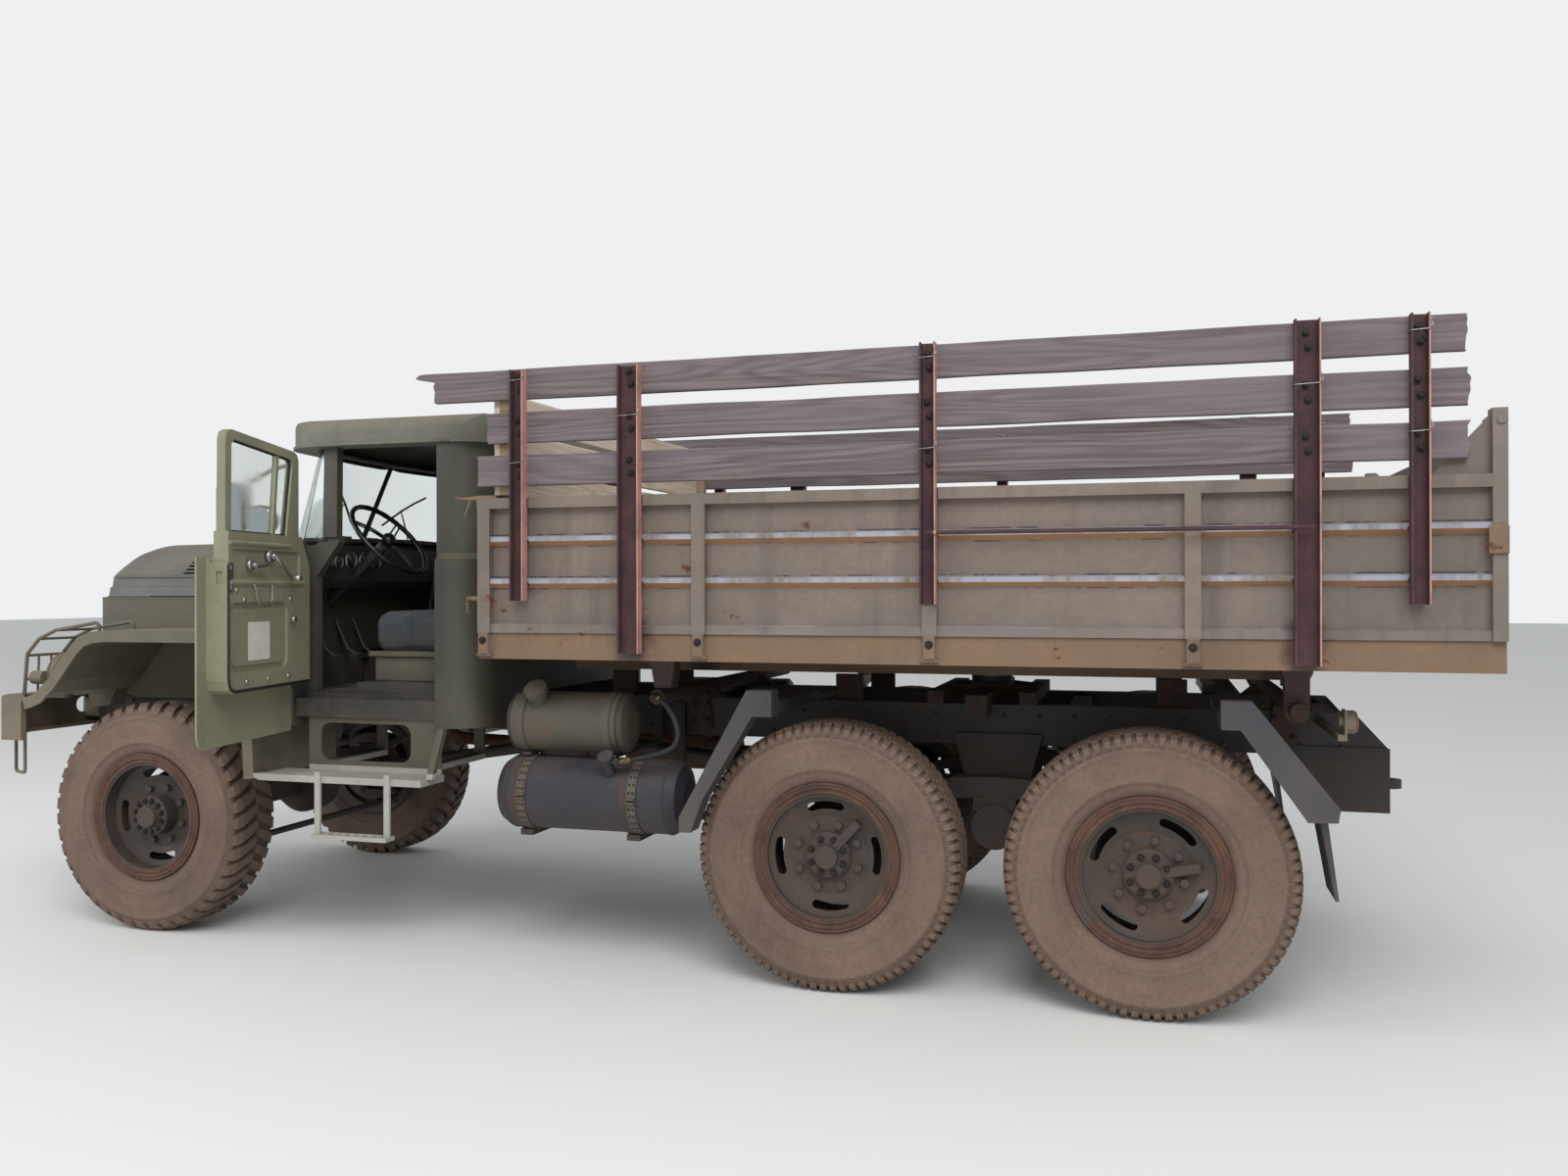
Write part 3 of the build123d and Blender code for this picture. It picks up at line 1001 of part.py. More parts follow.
def bed_frame():
    """Side rails, cross members, two long beams, hoist eye bracket and corner bearings."""
    length = (BED_REAR_X, BED_FRONT_X)
    rail_section = [(BED_HALF_WIDTH, BED_RAIL_BOTTOM), (BED_HALF_WIDTH, 1448), (BED_HALF_WIDTH - 60, 1448),
                    (BED_HALF_WIDTH - 60, 1440), (BED_HALF_WIDTH - 8, 1440), (BED_HALF_WIDTH - 8, 1348),
                    (BED_HALF_WIDTH - 60, 1348), (BED_HALF_WIDTH - 60, BED_RAIL_BOTTOM)]
    rails = both_sides(end_plate(rail_section, *length))
    members = []
    for x in BED_MEMBER_XS:
        solid = block(x - 30, x + 30, -BED_HALF_WIDTH + 7, BED_HALF_WIDTH - 7, 1346, 1426)
        members.append(solid - block(x - 22, x + 40, -1240, 1240, 1354, 1418))
    beams = both_sides(block(-5190, -1950, 335, 395, 1250, 1347))
    end_bars = [block(BED_FRONT_X - 10, BED_FRONT_X, -1222, 1222, BED_RAIL_BOTTOM, 1448),
                block(BED_REAR_X, BED_REAR_X + 10, -1222, 1222, BED_RAIL_BOTTOM, 1448)]
    cheeks = []
    for side in (1, -1):
        cheeks.append(side_plate([(HOIST_X - 28, 1245), (HOIST_X + 28, 1245), (HOIST_X + 52, 1275),
                                  (HOIST_X + 175, 1380), (HOIST_X - 175, 1380), (HOIST_X - 52, 1275)],
                                 side * 48, side * 64))
    pin = bar((HOIST_X, -64, HOIST_EYE_Z), (HOIST_X, 64, HOIST_EYE_Z), 22)
    bearings = []
    for y in (880, -880):
        tip_x, tip_z = TIP_HINGE
        hanger = side_plate([(tip_x - 60, 1346), (tip_x + 60, 1346), (tip_x + 54, 1310), (tip_x + 44, 1290),
                             (tip_x + 44, tip_z - 14), (tip_x + 26, tip_z - 48), (tip_x - 26, tip_z - 48),
                             (tip_x - 44, tip_z - 14), (tip_x - 44, 1290), (tip_x - 54, 1310)], y - 40, y + 40)
        bore = bar((TIP_HINGE[0], y - 60, TIP_HINGE[1]), (TIP_HINGE[0], y + 60, TIP_HINGE[1]), 32.05)
        bearings.append(hanger - bore)
        saddle = side_plate([(-2660, 1346), (-2544, 1346), (-2552, 1300), (-2560, 1250), (-2568, 1206),
                             (-2642, 1206), (-2650, 1250), (-2654, 1300)], y - 40, y + 40)
        bearings.append(saddle)
    long_ties = both_sides(block(-5300, -4980, 845, 915, 1340, 1352) + block(-2740, -2460, 845, 915, 1340, 1352))
    ties = [block(-5300, -5000, y - 30, y + 30, 1340, 1420) for y in (880, -880)]
    ties += [block(-2900, -2420, y - 30, y + 30, 1340, 1420) for y in (880, -880)]
    return joined([rails, *members, beams, *end_bars, *cheeks, pin, *bearings, long_ties, *ties])


def bed_floor():
    """Steel floor sheet on the cross members."""
    return block(BED_REAR_X + 10, BED_FRONT_X - 12, -1169, 1169, 1426, BED_FLOOR_Z)


def wall_section():
    """Folded side wall: top rail, two pressed ribs and a bottom rail (y, z)."""
    rib = 26
    outer = [(1196, 1449), (1240, 1449), (1240, 1482), (1216, 1488)]
    for z in (1665, 1840):
        outer += [(1216, z - 30), (1216 + rib, z - 12), (1216 + rib, z + 6), (1216, z + 12)]
    outer += [(1216, 1966), (1252, 1966), (1252, WALL_TOP_Z), (1190, WALL_TOP_Z), (1190, 1966), (1206, 1966)]
    inner = []
    for z in (1840, 1665):
        inner += [(1206, z + 8), (1206 + rib, z + 2), (1206 + rib, z - 8), (1206, z - 26)]
    return outer + inner + [(1206, 1480), (1196, 1480)]


POST_XS = (-1935, -2887, -3810, -4753)


def bed_walls():
    """Side walls with their posts and hinge feet, and the plain front wall."""
    side = end_plate(wall_section(), BED_REAR_X + 5, BED_FRONT_X)
    posts = []
    for x in POST_XS:
        posts.append(block(x - 28, x + 28, 1212, 1252, 1449, 1968))
        posts.append(block(x - 22, x + 22, 1231, 1256, 1362, 1452))
    rear_post = block(BED_REAR_X, BED_REAR_X + 46, 1190, 1254, 1449, 2229)
    gusset = side_plate([(BED_REAR_X + 40, 2005), (BED_REAR_X + 230, 2005), (BED_REAR_X + 40, 2215)], 1204, 1216)
    left = joined([side, *posts, rear_post, gusset])
    front = block(BED_FRONT_X - 12, BED_FRONT_X, -1200, 1200, 1449, WALL_TOP_Z)
    ribs = [block(BED_FRONT_X - 4, BED_FRONT_X + 22, -1200, 1200, z - 18, z + 18) for z in (1500, 1665, 1840, 1985)]
    return joined([both_sides(left), front, *ribs])


# Stakes: place, bottom, top, width
STAKES = ((-2108, 1583, 2534, 60), (-2603, 1371, 2528, 90), (-3811, 1570, 2549, 60),
          (-5128, 1359, 2555, 85), (-5480, 1572, 2553, 60))


def stakes():
    """Upright channel stakes welded to the side walls, and the rod between two of them."""
    pieces = []
    for x, bottom, top, width in STAKES:
        half = width / 2
        solid = block(x - half, x + half, 1252, 1294, bottom, top)
        pieces.append(solid - block(x - half + 7, x + half - 7, 1259, 1300, bottom - 5, top + 5))
    rod_piece = bar((-3811, 1299, 1838), (-5150, 1299, 1838), 8)
    return both_sides(joined([*pieces, rod_piece]))


# Planks along each side: bottom at the front, top at the front, rise to the rear, front end, rear end
PLANKS = ((2057, 2187, 6, -1903, -5640), (2235, 2365, 6, -1949, -5641), (2415, 2543, 8, -1698, -5635))


def planks():
    """Weathered side planks inside the stakes, and new boards across the front."""
    pieces = []
    for bottom, top, rise, x0, x1 in PLANKS:
        points = [(x0, bottom), (x1, bottom + rise), (x1, top + rise), (x0, top)]
        pieces.append(side_plate(points, 1217, 1251.7))
    sides = [*pieces, *[mirrored(piece) for piece in pieces]]
    boards = [block(-1990, -1962, -1214, 1214, z, z + 138) for z in (2022, 2176, 2330)]
    cleats = [block(-2040, -1990, side * 1216, side * 1170, 2022, 2468) for side in (1, -1)]
    return Compound(children=[joined([*boards, *cleats]), *sides])


def tailgate():
    """Top-hung tailgate between the rear posts: sheet, frame, ribs and its hinge lugs."""
    x0 = GATE_HINGE[0] - 18
    x1 = GATE_HINGE[0] + 18
    sheet = block(x1 - 8, x1, -1180, 1180, 1455, 2165)
    rails = [block(x0, x1, -1180, 1180, z, z + 50) for z in (1455, 1650, 1880, 2115)]
    uprights = [block(x0, x1, y - 30, y + 30, 1455, 2165) for y in (-1150, -600, 0, 600, 1150)]
    lugs = []
    for side in (1, -1):
        lug = side_plate([(x0, 2140), (x1, 2140), (x1 + 4, 2205), (x1 - 10, 2218), (x0 + 10, 2218), (x0 - 4, 2205)],
                         side * 1100, side * 1140)
        lugs.append(lug - bar((GATE_HINGE[0], -1300, GATE_HINGE[1]), (GATE_HINGE[0], 1300, GATE_HINGE[1]), 14.05))
    return joined([sheet, *rails, *uprights, *lugs])


def gate_pins():
    """Hinge pins for the tailgate, through the rear posts."""
    return both_sides(bar((GATE_HINGE[0], 1090, GATE_HINGE[1]), (GATE_HINGE[0], 1262, GATE_HINGE[1]), 14))


# Doors, modelled closed and then swung
DOOR_FRONT_X = DOOR_HINGE[0] - 12
DOOR_REAR_X = -1600
WINDOW_LINE = [(-1004, 1868), (-944, 2196), (-958, 2214), (-1448, 2246), (-1472, 2222), (-1476, 1868)]
VENT_BAR_LINE = [(-1100, 1866), (-1122, 1866), (-1077, 2250), (-1056, 2250)]


def pressing(x0, x1, z0, z1, radius, y0, y1):
    """Rounded panel outline, thick from y0 to y1."""
    face = make_face(FilletPolyline((x0, z0), (x1, z0), (x1, z1), (x0, z1), radius=radius, close=True))
    return extrude(side_plane(max(y0, y1)) * face, abs(y1 - y0))


def door_panel():
    """Left door, closed: outer skin with a lower lip, inner tray with pressed panels, window frame."""
    hx, hy = DOOR_HINGE
    front = DOOR_FRONT_X
    rear = DOOR_REAR_X
    skin_y = CAB_HALF_WIDTH + 13
    skin = side_plate([(front, 985), (-1545, 985), (-1585, 1002), (rear, 1040), (rear, BELT_Z), (front, BELT_Z)],
                      skin_y - 8, skin_y)
    tray = side_plate([(front, 1206), (-1480, 1206), (-1518, 1222), (-1533, 1262), (-1533, WINDOW_SILL_Z),
                       (-890, WINDOW_SILL_Z), (front, 1735)], 916, skin_y - 7)
    tray = tray - block(-1540, -802, 978, 1020, BELT_Z, 1900)
    tray = tray - block(-1540, -1522, 900, 990, BELT_Z - 20, 1900)
    tray = tray - block(-906, -1490, 910, 926, 1683, 1798)
    tray = tray - pressing(-1025, -1515, 1291, 1578, 45, 900, 928)
    tray = tray + pressing(-1050, -1490, 1316, 1553, 35, 922, 930)
    latch = block(-1545, -1524, 935, 962, 1655, 1705)
    rolls = [bar((-880, 916, 1660), (-1515, 916, 1660), 11), bar((-1000, 916, 1822), (-1515, 916, 1822), 10)]
    frame_line = [(-890, 1855), (-890, 2215), (-905, 2240), (-935, 2251), (-1470, 2284), (-1505, 2272),
                  (-1518, 2240), (-1522, 1855)]
    window = side_plate(frame_line, 930, 966) - side_plate(WINDOW_LINE, 900, 1000)
    vent_bar = side_plate(VENT_BAR_LINE, 936, 960)
    handle = rod([(-1500, skin_y - 2, 1690), (-1500, skin_y + 38, 1690), (-1390, skin_y + 38, 1690),
                  (-1390, skin_y - 2, 1690)], 9, 14)
    hinges = []
    for z in (1240, 1640):
        barrel = bar((hx, hy, z - 45), (hx, hy, z + 45), 15, 8.05)
        leaf = block(hx - 90, front, skin_y - 3, skin_y + 11, z - 30, z + 30)
        link = block(hx - 40, hx - 9, hy - 6, hy + 6, z - 30, z + 30)
        hinges.append(joined([barrel, leaf, link]))
    return joined([skin, tray - latch, *rolls, window, vent_bar, handle, *hinges])


def door_mirror():
    """Tall and round mirror on a bent tube from the door's front edge."""
    hx = DOOR_HINGE[0]
    arms = rod([(hx - 60, 1009, 1720), (hx - 40, 1180, 1790), (hx - 40, 1200, 2120), (hx - 75, 1060, 2180),
                (hx - 102, 955, 2200)], 9, 30)
    head = fillet(block(hx - 72, hx - 46, 1205, 1330, 1860, 2120).edges().filter_by(Axis.X), 30)
    dish = bar((hx - 75, 1125, 1945), (hx - 38, 1125, 1945), 72)
    return arms + head + dish


def door_glass_pane():
    """Door glass and vent window, either side of the vent bar."""
    return side_plate(WINDOW_LINE, 945, 951) - side_plate(VENT_BAR_LINE, 930, 966)


def door_pins():
    """Hinge pins and leaves on the cab's front posts."""
    hx, hy = DOOR_HINGE
    pieces = []
    for z in (1240, 1640):
        pin = bar((hx, hy, z - 62), (hx, hy, z + 62), 8)
        for z0 in (z - 62, z + 47):
            pieces.append(block(hx - 7, hx + 48, CAB_HALF_WIDTH, hy + 12, z0, z0 + 15))
        pieces.append(pin)
    return joined(pieces)


def swung(shape):
    """Left door's rest pose: open as parked."""
    hx, hy = DOOR_HINGE
    return Pos(hx, hy, 0) * Rot(0, 0, -DOOR_OPEN_DEG) * Pos(-hx, -hy, 0) * shape


def all_nodes():
    door = door_panel() + door_mirror()
    pane = door_glass_pane()
    wings = both_sides(fender())
    cowl = cab_cowl() + both_sides(door_pins())
    back = cab_back()
    nodes = {
        "frame": frame(), "bumper": bumper(), "engine": engine(), "radiator": radiator(), "gearbox": gearbox(),
        "drive_shafts": drive_shafts(), "front_axle": front_axle(),
        "middle_axle": driven_axle(MIDDLE_AXLE_X, True), "rear_axle": driven_axle(REAR_AXLE_X, False),
        "springs": springs(), "left_knuckle": knuckle(), "right_knuckle": mirrored(knuckle()),
        "tie_rod": tie_rod(), "fenders": wings, "grille": grille() - wings,
        "lamps": headlamps() - wings + rear_lamps(), "hood": hood(), "cab_cowl": cowl,
        "cab_back": back, "cab_roof": cab_roof(), "cab_floor": cab_floor() - cowl - back,
        "cab_glass": cab_glass() - cowl,
        "dashboard": dashboard() - cowl, "seats": seats(), "steering_wheel": steering_wheel(),
        "left_door": swung(door), "left_door_glass": swung(pane), "right_door": mirrored(door),
        "right_door_glass": mirrored(pane), "steps": ladder_step() + plain_step() - wings - back,
        "fuel_tank": fuel_tank(), "gas_cylinder": gas_cylinder(), "tank_cradle": tank_cradle(),
        "gas_hose": gas_hose(), "mudguard_arms": mudguard_arms(), "exhaust": exhaust() - engine(),
        "air_tanks": air_tanks(), "tipping_frame": bed_bearers() + hoist_cradle(),
        "hoist_barrel": hoist_barrel(), "bed_frame": bed_frame(), "bed_floor": bed_floor(),
        "bed_walls": bed_walls() + gate_pins(), "stakes": stakes(), "planks": planks(), "tailgate": tailgate(),
    }
    for i in (1, 2, 3):
        nodes[f"hoist_stage_{i}"] = hoist_stage(i)
    nodes.update(wheel_nodes())
    return nodes


os.makedirs("parts", exist_ok=True)
for node_name, node_shape in all_nodes().items():
    export_step(Pos(-ORIGIN[0], -ORIGIN[1], -ORIGIN[2]) * node_shape, f"parts/{node_name}.step")
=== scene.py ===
import bpy
import bmesh
import math
from mathutils import Matrix, Vector, noise


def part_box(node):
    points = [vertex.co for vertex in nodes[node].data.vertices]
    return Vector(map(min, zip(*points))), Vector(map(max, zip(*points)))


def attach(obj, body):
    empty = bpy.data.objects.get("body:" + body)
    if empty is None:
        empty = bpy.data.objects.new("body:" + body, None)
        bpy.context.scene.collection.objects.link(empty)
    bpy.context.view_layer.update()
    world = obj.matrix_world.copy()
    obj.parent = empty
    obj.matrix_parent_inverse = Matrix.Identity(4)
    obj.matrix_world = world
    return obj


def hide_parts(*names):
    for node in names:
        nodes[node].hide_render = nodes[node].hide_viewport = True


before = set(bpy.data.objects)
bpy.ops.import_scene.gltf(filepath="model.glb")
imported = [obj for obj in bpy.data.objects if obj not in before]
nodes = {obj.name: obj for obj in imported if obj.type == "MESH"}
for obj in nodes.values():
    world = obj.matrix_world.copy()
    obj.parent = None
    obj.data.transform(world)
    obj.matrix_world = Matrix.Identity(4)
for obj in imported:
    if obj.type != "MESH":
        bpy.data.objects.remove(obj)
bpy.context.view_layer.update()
scene = bpy.context.scene
noise.seed_set(4)  # the same wobble on every run
print("frame loaded:", len(nodes), "nodes")

# where things are, read from the frame
railLow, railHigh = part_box("frame")
centreY = (railLow.y + railHigh.y) / 2  # the truck's own centre line
wheelLow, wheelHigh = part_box("front_left_tyre")
frontAxleX = (wheelLow.x + wheelHigh.x) / 2
wheelZ = (wheelLow.z + wheelHigh.z) / 2
tyreRadius = (wheelHigh.x - wheelLow.x) / 2
tyreHalf = (wheelHigh.y - wheelLow.y) / 2
wheelNames = [f"{axle}_{side}" for axle in ("front", "middle", "rear") for side in ("left", "right")]
sides = ((1, "left"), (-1, "right"))
fullTurn = 2 * math.pi


# truck points are metres from the front axle's middle on the ground
def place(x, y, z):
    return Vector((frontAxleX + x, centreY + y, z))


def placed(points, side=1):
    return [place(x, side * y, z) for x, y, z in points]


# camera: level with the bed rail, left and a little behind
cameraView = {"at": (-4.587, 5.886, 1.625), "yaw": 16.172, "pitch": 0.093, "roll": -0.106, "lens": 28.52}


def makeCamera():
    data = bpy.data.cameras.new("truckCamera")
    data.sensor_width = 36
    data.lens = cameraView["lens"]
    data.clip_end = 200
    obj = newObject("truckCamera", data)
    yaw = math.radians(cameraView["yaw"])
    pitch = math.radians(cameraView["pitch"])
    forward = Vector((math.sin(yaw) * math.cos(pitch), -math.cos(yaw) * math.cos(pitch), math.sin(pitch)))
    turn = forward.to_track_quat("-Z", "Y").to_matrix()
    roll = Matrix.Rotation(math.radians(cameraView["roll"]), 3, "Z")
    obj.matrix_world = Matrix.Translation(place(*cameraView["at"])) @ (turn @ roll).to_4x4()
    scene.camera = obj


# mesh helpers
def newObject(name, data):
    obj = bpy.data.objects.new(name, data)
    scene.collection.objects.link(obj)
    return obj


def meshFrom(verts, faces, smooth=False):
    mesh = bpy.data.meshes.new("part")
    mesh.from_pydata([tuple(v) for v in verts], [], faces)
    mesh.update()
    bm = bmesh.new()
    bm.from_mesh(mesh)
    bmesh.ops.remove_doubles(bm, verts=bm.verts, dist=1e-6)
    bmesh.ops.recalc_face_normals(bm, faces=bm.faces)
    for face in bm.faces:
        face.smooth = smooth
    bm.to_mesh(mesh)
    bm.free()
    return mesh


def prism(front, back):
    # closed solid between two outlines with as many points
    n = len(front)
    faces = [tuple(range(n)), tuple(range(n, 2 * n))]
    return meshFrom(front + back, faces + [(i, (i + 1) % n, n + (i + 1) % n, n + i) for i in range(n)])


def tube(points, radius, sides=10, closed=False):
    verts = []
    faces = []
    points = [Vector(p) for p in points]
    count = len(points)
    up = Vector((0.13, 0.21, 0.97))
    for i, p in enumerate(points):
        before = points[i - 1] if i or closed else p
        after = points[(i + 1) % count] if i < count - 1 or closed else p
        way = (after - before).normalized()
        side = way.cross(up)
        side = side.normalized() if side.length > 1e-3 else Vector((1, 0, 0))
        up = side.cross(way).normalized()
        r = radius[i] if isinstance(radius, (list, tuple)) else radius
        for k in range(sides):
            a = fullTurn * k / sides
            verts.append(p + side * (r * math.cos(a)) + up * (r * math.sin(a)))
    for i in range(count if closed else count - 1):
        j = (i + 1) % count
        for k in range(sides):
            m = (k + 1) % sides
            faces.append((i * sides + k, i * sides + m, j * sides + m, j * sides + k))
    if not closed:
        faces.append(tuple(range(sides))[::-1])
        faces.append(tuple(range((count - 1) * sides, count * sides)))
    return meshFrom(verts, faces, True)


def roundedPath(points, radius, steps=5):
    points = [Vector(p) for p in points]
    path = [points[0]]
    for before, corner, after in zip(points, points[1:], points[2:]):
        a = before - corner
        b = after - corner
        cut = min(radius, a.length * 0.45, b.length * 0.45)
        start = corner + a.normalized() * cut
        end = corner + b.normalized() * cut
        for i in range(steps + 1):
            t = i / steps
            path.append(start * (1 - t) ** 2 + corner * 2 * t * (1 - t) + end * t * t)
    path.append(points[-1])
    return path


def rod(points, bend, radius, sides=10, side=1):
    # round bar through truck points, with rounded bends
    return tube(roundedPath(placed(points, side), bend), radius, sides)


def spun(profile, segments, centre=(0, 0, 0), axis="Y", smooth=True):
    verts = []
    faces = []
    n = len(profile)
    for s in range(segments):
        a = fullTurn * s / segments
        for r, along in profile:
            u = r * math.cos(a)
            v = r * math.sin(a)
            point = {"Y": (u, along, v), "X": (along, u, v), "Z": (u, v, along)}[axis]
            verts.append(Vector(point) + Vector(centre))
    for s in range(segments):
        t = (s + 1) % segments
        for i in range(n):
            j = (i + 1) % n
            faces.append((s * n + i, s * n + j, t * n + j, t * n + i))
    return meshFrom(verts, faces, smooth)


def applied(obj):
    # the object's modifiers made real in its mesh
    bpy.context.view_layer.update()
    graph = bpy.context.evaluated_depsgraph_get()
    mesh = bpy.data.meshes.new_from_object(obj.evaluated_get(graph))
    obj.modifiers.clear()
    old = obj.data
    obj.data = mesh
    bpy.data.meshes.remove(old)
    return obj


def slab(low, high, width=0.004):
    # box between two truck points with its edges rounded
    low = place(*low)
    high = place(*high)
    ends = [[(x, y, z) for y, z in ((low.y, low.z), (high.y, low.z), (high.y, high.z), (low.y, high.z))]
            for x in (low.x, high.x)]
    obj = newObject("slab", prism(*ends))
    mod = obj.modifiers.new("bevel", "BEVEL")
    mod.width = width
    mod.segments = 2
    mod.limit_method = "ANGLE"
    mod.angle_limit = math.radians(40)
    mesh = applied(obj).data
    bpy.data.objects.remove(obj)
    return mesh


def finishPiece(obj, body, material, replaces=()):
    obj.data.materials.clear()
    obj.data.materials.append(material)
    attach(obj, body)
    if replaces:
        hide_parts(*replaces)
    return obj


def joined(name, meshes):
    bm = bmesh.new()
    for mesh in meshes:
        bm.from_mesh(mesh)
        bpy.data.meshes.remove(mesh)
    whole = bpy.data.meshes.new(name)
    bm.to_mesh(whole)
    bm.free()
    return whole


def piece(name, meshes, body, material, replaces=()):
    return finishPiece(newObject(name, joined(name, meshes)), body, material, replaces)


# stakes on each side: place, bottom, top, width
stakeRows = ((-2.108, 1.583, 2.534, 0.060), (-2.603, 1.371, 2.528, 0.090), (-3.811, 1.570, 2.549, 0.060),
             (-5.128, 1.359, 2.555, 0.085), (-5.480, 1.572, 2.553, 0.060))


# node trees: a value given for an input is set, an output is linked
class Graph:

    def __init__(self, tree):
        self.tree = tree

    def feed(self, node, values):
        for key, value in values.items():
            socket = node.inputs[key]
            if isinstance(value, bpy.types.NodeSocket):
                self.tree.links.new(value, socket)
            elif isinstance(value, (tuple, list)) and socket.type == "RGBA":
                socket.default_value = (*value, 1)
            else:
                socket.default_value = value

    def add(self, kind, values=None, **settings):
        node = self.tree.nodes.new(kind)
        for key, value in settings.items():
            setattr(node, key, value)
        self.feed(node, values or {})
        return node


class Finish(Graph):

    def __init__(self, name):
        self.mat = bpy.data.materials.new(name)
        self.mat.use_nodes = True
        super().__init__(self.mat.node_tree)
        self.bsdf = self.tree.nodes["Principled BSDF"]
        self.coord = self.add("ShaderNodeTexCoord").outputs

    def stretched(self, scale=(1, 1, 1), shift=(0, 0, 0)):
        values = {"Vector": self.coord["Object"], "Scale": scale, "Location": shift}
        return self.add("ShaderNodeMapping", values).outputs["Vector"]

    def noise(self, scale, detail=5, rough=0.6, vector=None):
        values = {"Vector": vector or self.coord["Object"], "Scale": scale, "Detail": detail, "Roughness": rough}
        return self.add("ShaderNodeTexNoise", values).outputs["Fac"]

    def ramp(self, value, low, high, outLow=0.0, outHigh=1.0):
        values = {"Value": value, "From Min": low, "From Max": high, "To Min": outLow, "To Max": outHigh}
        return self.add("ShaderNodeMapRange", values).outputs["Result"]

    def math(self, kind, a, b):
        return self.add("ShaderNodeMath", {0: a, 1: b}, operation=kind).outputs["Value"]

    def apart(self, a, b):
        return self.math("ABSOLUTE", self.math("SUBTRACT", a, b), 0.0)

    def mix(self, factor, a, b):
        return self.add("ShaderNodeMix", {0: factor, 6: a, 7: b}, data_type="RGBA").outputs[2]

    def split(self, source="Object"):
        return self.add("ShaderNodeSeparateXYZ", {"Vector": self.coord[source]}).outputs

    def bump(self, height, strength, distance):
        node = self.add("ShaderNodeBump", {"Strength": strength, "Distance": distance, "Height": height})
        self.feed(self.bsdf, {"Normal": node.outputs["Normal"]})

    def surface(self, color, roughness, metallic=0.0, more=None):
        self.feed(self.bsdf, {"Base Color": color, "Roughness": roughness, "Metallic": metallic, **(more or {})})
        return self.mat


def srgb(r, g, b):
    return tuple(((c / 255 + 0.055) / 1.055) ** 2.4 if c > 10 else c / 255 / 12.92 for c in (r, g, b))


def shade(color, share):
    return srgb(*[c * share for c in color])


def blend(a, b, shareA, shareB):
    return srgb(*[shareA * c + shareB * d for c, d in zip(a, b)])


# old paint: rust under the chips, and the bands that follow a pressed rib
rust = {"dark": (52, 30, 24), "bright": (120, 72, 48), "halo": (110, 78, 58), "scorch": (58, 42, 44), "rough": 0.92}
ribBands = (  # middle above the rib, half height, colour, where the broken noise starts and ends
    # the first band is painted highlight: pale bluish-white along each rib
    (0.0005, 0.0125, (158, 161, 174), 0.38, 0.55), (-0.021, 0.009, (160, 118, 82), 0.3, 0.5),
    (0.0155, 0.0035, (52, 42, 44), 0.47, 0.52), (-0.0335, 0.003, (84, 58, 50), 0.5, 0.55))


